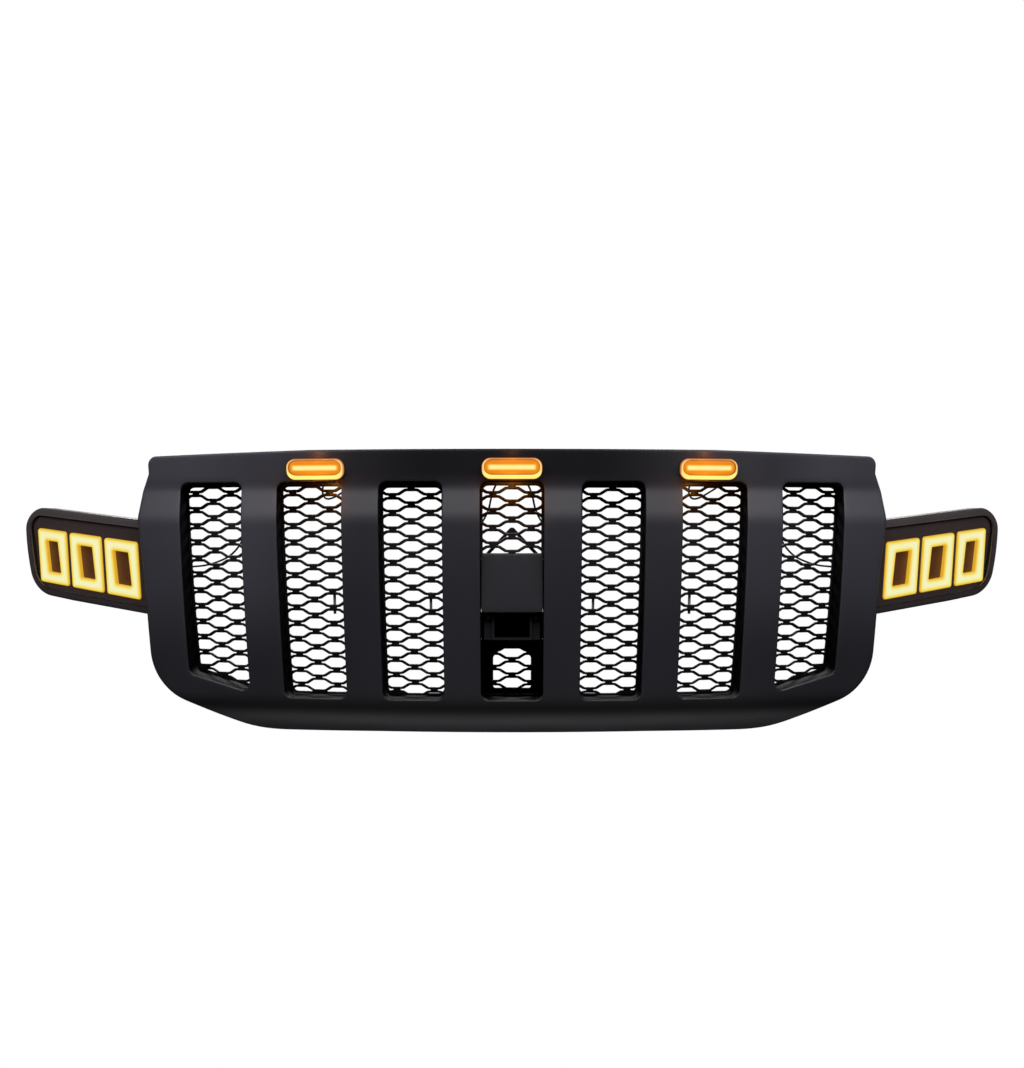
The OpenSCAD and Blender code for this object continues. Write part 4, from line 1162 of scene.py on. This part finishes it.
class Spot(Enum):
    """The places of the marker lamps along the rail, as seen from in front."""

    LEFT = -1
    CENTRE = 0
    RIGHT = 1

    @property
    def word(self) -> str:
        """The place as the pieces' names spell it."""
        return self.name.lower()

    @property
    def angle(self) -> float:
        """How far the place is swung round from the middle."""
        bar_middle = (slot_edge(2, 1) + slot_edge(2, -1)) / 2 - 9.5
        return self.value * math.asin(bar_middle / S.crown_r)


@dataclass
class Marker:
    """One lit marker lamp on the top rail."""

    spot: Spot
    lift: float = 2.3
    width: float = 88
    height: float = 31
    corner_r: float = 13
    drop: float = 28.5
    base: float = -3.2
    proud: float = 10

    def place(self, p: np.ndarray) -> np.ndarray:
        """Lamp millimetres to frame metres."""
        tilt = math.atan(S.rail_overhang / S.rail_h)
        y = p[:, 1] * math.cos(tilt) - p[:, 2] * math.sin(tilt)
        z = p[:, 1] * math.sin(tilt) + p[:, 2] * math.cos(tilt) - self.drop
        y = y + S.band_recess - S.rail_overhang * (S.rail_h - self.drop) / S.rail_h
        return to_metres(swung(np.stack([p[:, 0], y, z], axis=1), self.spot.angle))

    def pill(self, inset: float) -> Loop:
        """The lamp's outline, inset."""
        w, h = self.width / 2 - inset, self.height / 2 - inset
        r = max(self.corner_r - inset, 1)
        return resampled(rounded([(-w, -h, r), (w, -h, r), (w, h, r), (-w, h, r)], 10), 4)

    def build(self) -> None:
        """Make the lens and the light bar."""
        word, front, window = self.spot.word, -self.proud, self.window()
        lens = Mould(f"marker_cover_{word}", self.place)
        lens.fill([window], level_at(front + 0.5), np.arange(-self.height / 2, self.height / 2, 5), 5)
        film = len(lens.faces)
        full = self.pill(0)
        shape = ((0.85, self.base), (0, self.base), (0, -5.2), (0.04, -6.8), (0.12, -8.0), (0.25, -9.1),
                 (0.4, -9.7), (0.55, front), (0.72, -9.8), (0.86, -9.3), (1.0, -8.4), (1.0, front + 0.5))
        lens.rows([laid(full + (window - full) * t, y) for t, y in shape])
        cover = lens.finish(AMBER, 60, self.rim_core, second=RIM_GLOW, first_count=film)
        settle(cover, "amber_lens", f"marker_lens_{word}")
        bar = Mould(f"marker_guide_{word}", self.place)
        rings = []
        for scale, y in ((1.0, self.base - 0.2), (1.0, -6.0), (0.97, -7.2), (0.90, -8.0), (0.78, -8.6)):
            flat = (window - [0, self.lift]) * [1 - (1 - scale) * 0.35, scale] + [0, self.lift]
            rings.append(laid(flat, y))
        bar.rows(rings)
        for ring in (rings[0], rings[-1]):
            bar.fill([ring[:, [0, 2]]], level_at(ring[0, 1]), np.arange(-14, 16, 1.5), 2.0)
        settle(bar.finish(BAR_GLOW, 60, self.core), "marker_light", f"marker_bar_{word}")

    def window(self) -> Loop:
        """Outline of the lens's window, a little above the middle."""
        return self.pill(0) * [(self.width - 8.0) / self.width, 21.6 / self.height] + [0, self.lift]

    def rim_core(self, p: np.ndarray) -> np.ndarray:
        """Brightness round the lens: dull above, bright at the ends and below."""
        low = np.clip((2 - p[:, 2]) / 9, 0, 1)
        end = np.clip((np.abs(p[:, 0]) - self.width / 2 + 14) / 10, 0, 1)
        gap = edge_distance(p[:, [0, 2]], (self.window(),))
        side = edge_distance(p[:, [0, 2]], (self.pill(0),))
        face = np.clip((-3.4 - p[:, 1]) / 3.0, 0.25, 1) * np.clip(gap / 1.5, 0, 1)
        face *= np.clip(0.25 + side / 2, 0, 1)
        return np.clip((0.36 + 0.64 * np.maximum(low, 0.6 * end)) * face, 0, 1)

    def core(self, p: np.ndarray) -> np.ndarray:
        """Brightness across the bar: a bright strip along its middle."""
        strip = np.exp(-((p[:, 2] - self.lift + 0.2) / 4.0) ** 4)
        ends = np.clip((self.width / 2 - 7 - np.abs(p[:, 0])) / 5, 0, 1)
        rim = np.clip(edge_distance(p[:, [0, 2]], (self.window(),)) / 1.4, 0, 1)
        return np.clip((0.30 + 0.70 * strip * ends) * (0.3 + 0.7 * rim), 0, 1)


# ---------------------------------------------------------------- wing lamps


@dataclass
class Wing:
    """One lit wing, built on the right and mirrored to the left."""

    length: float = 250
    hidden: float = 35
    top_z: float = -107
    toe: float = 5.2
    lens_d: float = 14
    lens_crown_r: float = 320
    ring_w: tuple[float, float, float] = (69, 67.5, 62.5)
    ring_gap: float = 6
    ring_side: float = 19
    ring_band: float = 18
    ring_start: float = 12.5
    ring_top: tuple[float, float] = (-138.8, 0.1084)
    ring_bottom: tuple[float, float] = (-227, 0.124)
    lean: float = 7.6
    mask_y: float = 9.5
    lens_t: float = 2.5
    border: float = 12
    edge_r: float = 3.5

    def place(self, p: np.ndarray) -> np.ndarray:
        """Wing millimetres to frame metres."""
        turn = math.asin(S.half_w / S.crown_r) + math.radians(self.toe)
        root_x = S.half_w
        root_y = float(crowned(np.array(S.half_w), np.array(0.0))) + 16
        c, s = math.cos(turn), math.sin(turn)
        x, y = root_x + p[:, 0] * c - p[:, 1] * s, root_y + p[:, 0] * s + p[:, 1] * c
        return to_metres(np.stack([x, y, p[:, 2]], axis=1))

    def outline(self, inset: float = 0) -> Loop:
        """The wing's outline, moved inwards by inset."""
        tip, top = self.length, self.top_z
        ends = np.array([(-self.hidden, top, 3), (-self.hidden, top - 144, 3), (tip - 106, top - 123.5, 200),
                         (tip - 23.5, top - 111.9, 46), (tip + 1.5, top + 28.4, 30)])
        moved = offset_loop(ends[:, :2], -inset)
        radii = np.maximum(ends[:, 2] - inset, 2)
        return resampled(rounded(list(np.column_stack([moved, radii])), 12), 6)

    def ring(self, i: int, side: float, band: float, r: float) -> Loop:
        """Outline of a leaning light frame, inset by side and band."""
        start = self.ring_start + sum(self.ring_w[:i]) + self.ring_gap * i
        s0, s1 = start + side, start + self.ring_w[i] - side
        (top, rise), (bottom, low_rise) = self.ring_top, self.ring_bottom
        upper = [(s, top + rise * s - band, r) for s in (s0, s1)]
        lower = [(s, bottom + low_rise * s + band, r) for s in (s0 - self.lean, s1 - self.lean)]
        return rounded([upper[0], *lower, upper[1]], 5)

    def lens_front(self, s: np.ndarray, z: np.ndarray) -> np.ndarray:
        """Depth of the crowned lens face."""
        a = math.radians(6)
        off = -(s - self.length / 2) * math.sin(a) + (z - self.top_z + 60) * math.cos(a)
        return self.lens_crown_r - np.sqrt(self.lens_crown_r**2 - off**2)

    def build(self) -> None:
        """Make the lens and the light frames on both sides."""
        lens = Mould("wing_cover_right", self.place)
        rows = np.arange(self.top_z - 150, self.top_z + 40, 6)
        self.add_film(lens, rows)
        film = len(lens.faces)
        self.add_border(lens, np.arange(self.top_z - 150, self.top_z + 40, 2.0))
        cover = lens.finish(SMOKE, 60, second=GLOSS_BLACK, first_count=film)
        self.both(cover, "wing_cover", "smoked_lens", "wing_lens")
        for i, word in enumerate(("inner", "middle", "outer")):
            outer = resampled(self.ring(i, 0, 0, 5), 2.5)
            hole = resampled(self.ring(i, self.ring_side, self.ring_band, 2), 2.5)
            mould = Mould(f"wing_frame_{word}_right", self.place)
            front, back = self.mask_y - 1.5, self.mask_y + 5.5
            mould.plate(outer, [hole], level_at(front), level_at(back), 1.6, np.arange(-240, -100, 2.2), 2.2)
            ring = mould.finish(RING_GLOW, 60, self.ring_core(outer, hole))
            self.both(ring, f"wing_frame_{word}", "wing_light", f"wing_ring_{word}")

    def add_film(self, lens: Mould, rows: np.ndarray) -> None:
        """Add the clear part of the lens, front and back."""
        window = self.outline(self.border)
        for behind in (0, self.lens_t):
            lens.fill([window], lambda s, z, d=behind: self.lens_front(s, z) + d, rows, 6)

    def add_border(self, lens: Mould, rows: np.ndarray) -> None:
        """Add the black border of the lens and its skirt."""
        loop, window = self.outline(), self.outline(self.border)
        inner = offset_loop(loop, -self.lens_t)
        lens.fill([offset_loop(loop, -self.edge_r), window], self.lens_front, rows, 2.5)
        lens.fill([inner, window], lambda s, z: self.lens_front(s, z) + self.lens_t, rows, 2.5)
        under = np.minimum(self.lens_front(inner[:, 0], inner[:, 1]) + self.lens_t, self.lens_d)
        skirt = [laid(loop, self.lens_d), laid(inner, self.lens_d), laid(inner, under)]
        lens.rows(eased(loop, self.lens_front, self.edge_r, -1, 5) + skirt)
        near = self.lens_front(window[:, 0], window[:, 1])
        lens.rows([laid(window, near + d) for d in (0, self.lens_t)])

    def ring_core(self, outer: Loop, hole: Loop) -> Callable[[np.ndarray], np.ndarray]:
        """Brightness across a light frame, from its edges to its middle line."""
        def core(p: np.ndarray) -> np.ndarray:
            """Value per point."""
            gap = edge_distance(p[:, [0, 2]], (outer, hole))
            return np.clip(gap / 7.5, 0, 1) ** 0.8
        return core

    @staticmethod
    def both(right: bpy.types.Object, stem: str, slot: str, node: str) -> None:
        """Settle a right-hand piece and its mirrored twin."""
        left = mirrored_copy(right, f"{stem}_left")
        settle(right, slot, f"{node}_right")
        settle(left, slot, f"{node}_left")


# ---------------------------------------------------------------- wiring


@dataclass
class Wiring:
    """The loom and the lamps' leads."""

    loom_d: float = 6
    tail_d: float = 4
    lead_d: float = 3
    tail_path: tuple = ((98, 50, -39), (106, 45, -35), (114, 36, -25), (122, 30, -15), (129, 29, -12),
                        (136, 36, -12))
    wing_path: tuple = ((586, 189, -160), (572, 190, -165), (550, 186, -171), (528, 179, -176),
                        (511, 173, -176), (494, 167, -175), (476, 161, -173), (458, 156, -168),
                        (440, 151, -160), (426, 147, -148), (416, 143, -132), (411, 139, -106),
                        (410, 136, -78), (412, 135, -56), (417, 132, -40), (422, 122, -35),
                        (427, 113.5, -37))
    marker_path: tuple = ((3, 41, -26), (2, 54, -28), (-3, 65, -36), (-8, 70, -48), (-10, 71, -62),
                          (-4, 71, -71), (8, 71, -69), (24, 70, -60), (37, 69.5, -51), (46, 68, -35),
                          (50, 60, -34), (52, 51, -37))
    middle_path: tuple = ((3, 41, -26), (8, 54, -29), (17, 66, -40), (26, 70, -55), (31, 71, -70),
                          (35, 72, -87), (43, 73, -104), (51, 73.5, -111), (62, 73, -106), (70, 71, -88),
                          (75, 69, -64), (77, 64, -44), (79, 51, -37))

    @staticmethod
    def tube(mould: Mould, path: Sequence[Sequence[float]], d: float, step: float = 4,
             sides: int = 12) -> None:
        """Sweep a smooth tube along a path.

        Args:
            mould: The mould to add to.
            path: Points that the tube passes through.
            d: Its diameter.
            step: Distance between rings.
            sides: Points in each ring.
        """
        p = np.asarray(path, float)
        ends = np.concatenate([[2 * p[0] - p[1]], p, [2 * p[-1] - p[-2]]])
        line = []
        for k in range(1, len(ends) - 2):
            a, b, c, e = ends[k - 1:k + 3]
            count = max(2, round(float(np.linalg.norm(c - b)) / step))
            bend, twist = 2 * a - 5 * b + 4 * c - e, 3 * b - a - 3 * c + e
            for t in np.linspace(0, 1, count, endpoint=False):
                line.append(0.5 * (2 * b + (c - a) * t + bend * t**2 + twist * t**3))
        line = np.array(line + [p[-1]])
        way = np.gradient(line, axis=0)
        way /= np.linalg.norm(way, axis=1)[:, None]
        u = np.cross(way, [0.05, 0.1, 1.0])
        u /= np.linalg.norm(u, axis=1)[:, None]
        v = np.cross(way, u)
        spin = circle(0, 0, 1, sides)
        rings = [c + d / 2 * (spin[:, :1] * a + spin[:, 1:] * b) for c, a, b in zip(line, u, v)]
        ids = [mould.add(r) for r in rings]
        for a, b in zip(ids, ids[1:]):
            mould.strip(a, b)
        mould.faces += [tuple(ids[0]), tuple(reversed(ids[-1]))]

    def build(self) -> None:
        """Make the loom and every lead."""
        r = S.crown_r - S.seat_depth + 12
        z = -S.slot_top + S.wall + 1.5 + self.loom_d / 2
        turns = np.radians(np.linspace(-19.5, 19.5, 60))
        loom = Mould("loom_main")
        arc = np.stack([r * np.sin(turns), S.crown_r - r * np.cos(turns), np.full(60, z)], axis=1)
        self.tube(loom, arc, self.loom_d)
        self.tube(loom, self.tail_path, self.tail_d)
        settle(loom.finish(TAPE, 60), "cable_sleeve", "loom")
        wings = Mould("wing_lead_pair")
        self.pair(wings, self.wing_path)
        settle(wings.finish(LEAD, 60), "cable_sleeve", "wing_leads")
        lamps = Mould("marker_lead_set")
        for spot in (Spot.LEFT, Spot.RIGHT):
            self.tube(lamps, swung(np.array(self.marker_path, float), spot.angle), self.lead_d)
        self.pair(lamps, self.middle_path)
        settle(lamps.finish(LEAD, 60), "cable_sleeve", "marker_leads")

    def pair(self, mould: Mould, path: Sequence[Sequence[float]]) -> None:
        """Add a lead on the right and its twin on the left."""
        for side in (-1, 1):
            self.tube(mould, np.array(path, float) * [side, 1, 1], self.lead_d)


# ---------------------------------------------------------------- kept CAD pieces


def finish_kept_nodes() -> None:
    """Give every kept CAD piece its finish and eased edges."""
    table = [
        ("screws", ZINC, 0.4), ("nuts", ZINC, 0.3), ("wing_bracket", ZINC, 0.4), ("mesh_clips", NYLON, 0.5),
        ("badge_carrier", MESH, 0.6), ("badge_brace", MESH, 0.6), ("camera_bracket", POCKET, 0.8),
        ("marker_board", GREEN_BOARD, 0.1), ("marker_housing", HOUSING, 0.5), ("marker_gasket", RUBBER, 0.3),
        ("wing_mask", MASK, 0.3), ("wing_board", AMBER_LIT_BOARD, 0.1), ("wing_seal", RUBBER, 0.3),
        ("wing_housing", HOUSING, 1.0), ("loom_clips", CLIP, 0.4), ("supply_connector", HOUSING, 0.6),
    ]
    for name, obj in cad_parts.items():
        for key, finish, width in table:
            if key in name:
                obj.data.materials.clear()
                obj.data.materials.append(finish.material())
                bevel = obj.modifiers.new("eased edges", "BEVEL")
                bevel.width = width / 1000
                bevel.segments = 2
                bevel.limit_method = "ANGLE"
                bevel.angle_limit = math.radians(40)
                bevel.harden_normals = False
                log.info("%s keeps its shape, finished as %s", name, finish.name)
                break


# ---------------------------------------------------------------- studio


def look_at(obj: bpy.types.Object, at: Sequence[float]) -> None:
    """Turn a light or camera to face a point."""
    obj.rotation_euler = (Vector(at) - obj.location).to_track_quat("-Z", "Y").to_euler()


def add_lamp(name: str, kind: str, place: Sequence[float], power: float,
             colour: tuple[float, float, float] = (1, 1, 1)) -> bpy.types.Object:
    """Add one lamp that the camera doesn't see.

    Args:
        name: Its name.
        kind: Blender's word for its kind.
        place: Where it stands, in metres.
        power: Its power in watts.
        colour: Its colour.

    Returns:
        The lamp's object.
    """
    lamp = bpy.data.lights.new(name, kind)
    lamp.energy = power
    lamp.color = colour
    obj = bpy.data.objects.new(name, lamp)
    obj.location = place
    bpy.context.scene.collection.objects.link(obj)
    obj.visible_camera = False
    return obj


def add_panel(name: str, place: Sequence[float], at: Sequence[float], size: tuple[float, float],
              power: float) -> None:
    """Add one soft rectangular light of a given width and height, facing a point."""
    obj = add_lamp(name, "AREA", place, power)
    obj.data.shape = "RECTANGLE"
    obj.data.size, obj.data.size_y = size
    look_at(obj, at)


def add_glow(place: Sequence[float], power: float) -> None:
    """Add the amber light that a lamp throws on what is round it."""
    add_lamp("amber glow", "POINT", place, power, (1.0, 0.30, 0.03)).data.shadow_soft_size = 0.006


def build_studio() -> None:
    """Set up the white surround, the soft lights and the camera."""
    scene = bpy.context.scene
    scene.view_settings.view_transform = "Standard"
    scene.view_settings.look = "None"
    world = bpy.data.worlds.new("studio")
    scene.world = world
    world.use_nodes = True
    sky = world.node_tree.nodes["Background"].inputs
    sky["Color"].default_value = (1, 1, 1, 1)
    sky["Strength"].default_value = 1.0
    world.cycles_visibility.diffuse = False
    world.cycles_visibility.glossy = False
    add_panel("key", (0, -2.0, 2.4), (0, 0, -0.2), (3.6, 1.3), 112)
    add_panel("overhead", (0, 0.2, 2.6), (0, 0.05, -0.2), (3.6, 1.0), 14)
    add_panel("left", (-2.4, -1.5, 1.7), (-0.3, 0, -0.2), (1.2, 1.6), 26)
    add_panel("right", (2.4, -1.5, 1.7), (0.3, 0, -0.2), (1.2, 1.6), 26)
    add_panel("bounce", (0, -0.10, -1.7), (0, 0, -0.4), (2.4, 0.4), 9)
    add_panel("behind", (0, 3.0, 1.6), (0, 0.1, -0.2), (3.0, 1.5), 110)
    for spot in Spot:
        x, y = S.crown_r * math.sin(spot.angle), S.crown_r * (1 - math.cos(spot.angle))
        for z, power in ((-54, 0.08), (-6, 0.022)):
            add_glow(to_metres(np.array([x, y - 8.0, z])), power)
    distance, film_w, view_w = 2200, 36, 1.45 * 1068
    lens = bpy.data.cameras.new("camera")
    lens.sensor_width = film_w
    lens.lens = film_w * distance / view_w
    camera = bpy.data.objects.new("camera", lens)
    camera.location = (0, -(distance + S.upper_fixing_y) / 1000, -0.1245)
    camera.rotation_euler = (math.pi / 2, 0, 0)
    scene.collection.objects.link(camera)
    scene.camera = camera


def main() -> None:
    """Build the studio and every piece."""
    logging.basicConfig(level=logging.INFO, format="%(name)s: %(message)s")
    build_studio()
    finish_kept_nodes()
    Bezel().build()
    Inserts().build()
    Badge().build()
    for spot in Spot:
        Marker(spot).build()
    Wing().build()
    Wiring().build()


if __name__ == "__main__":
    main()
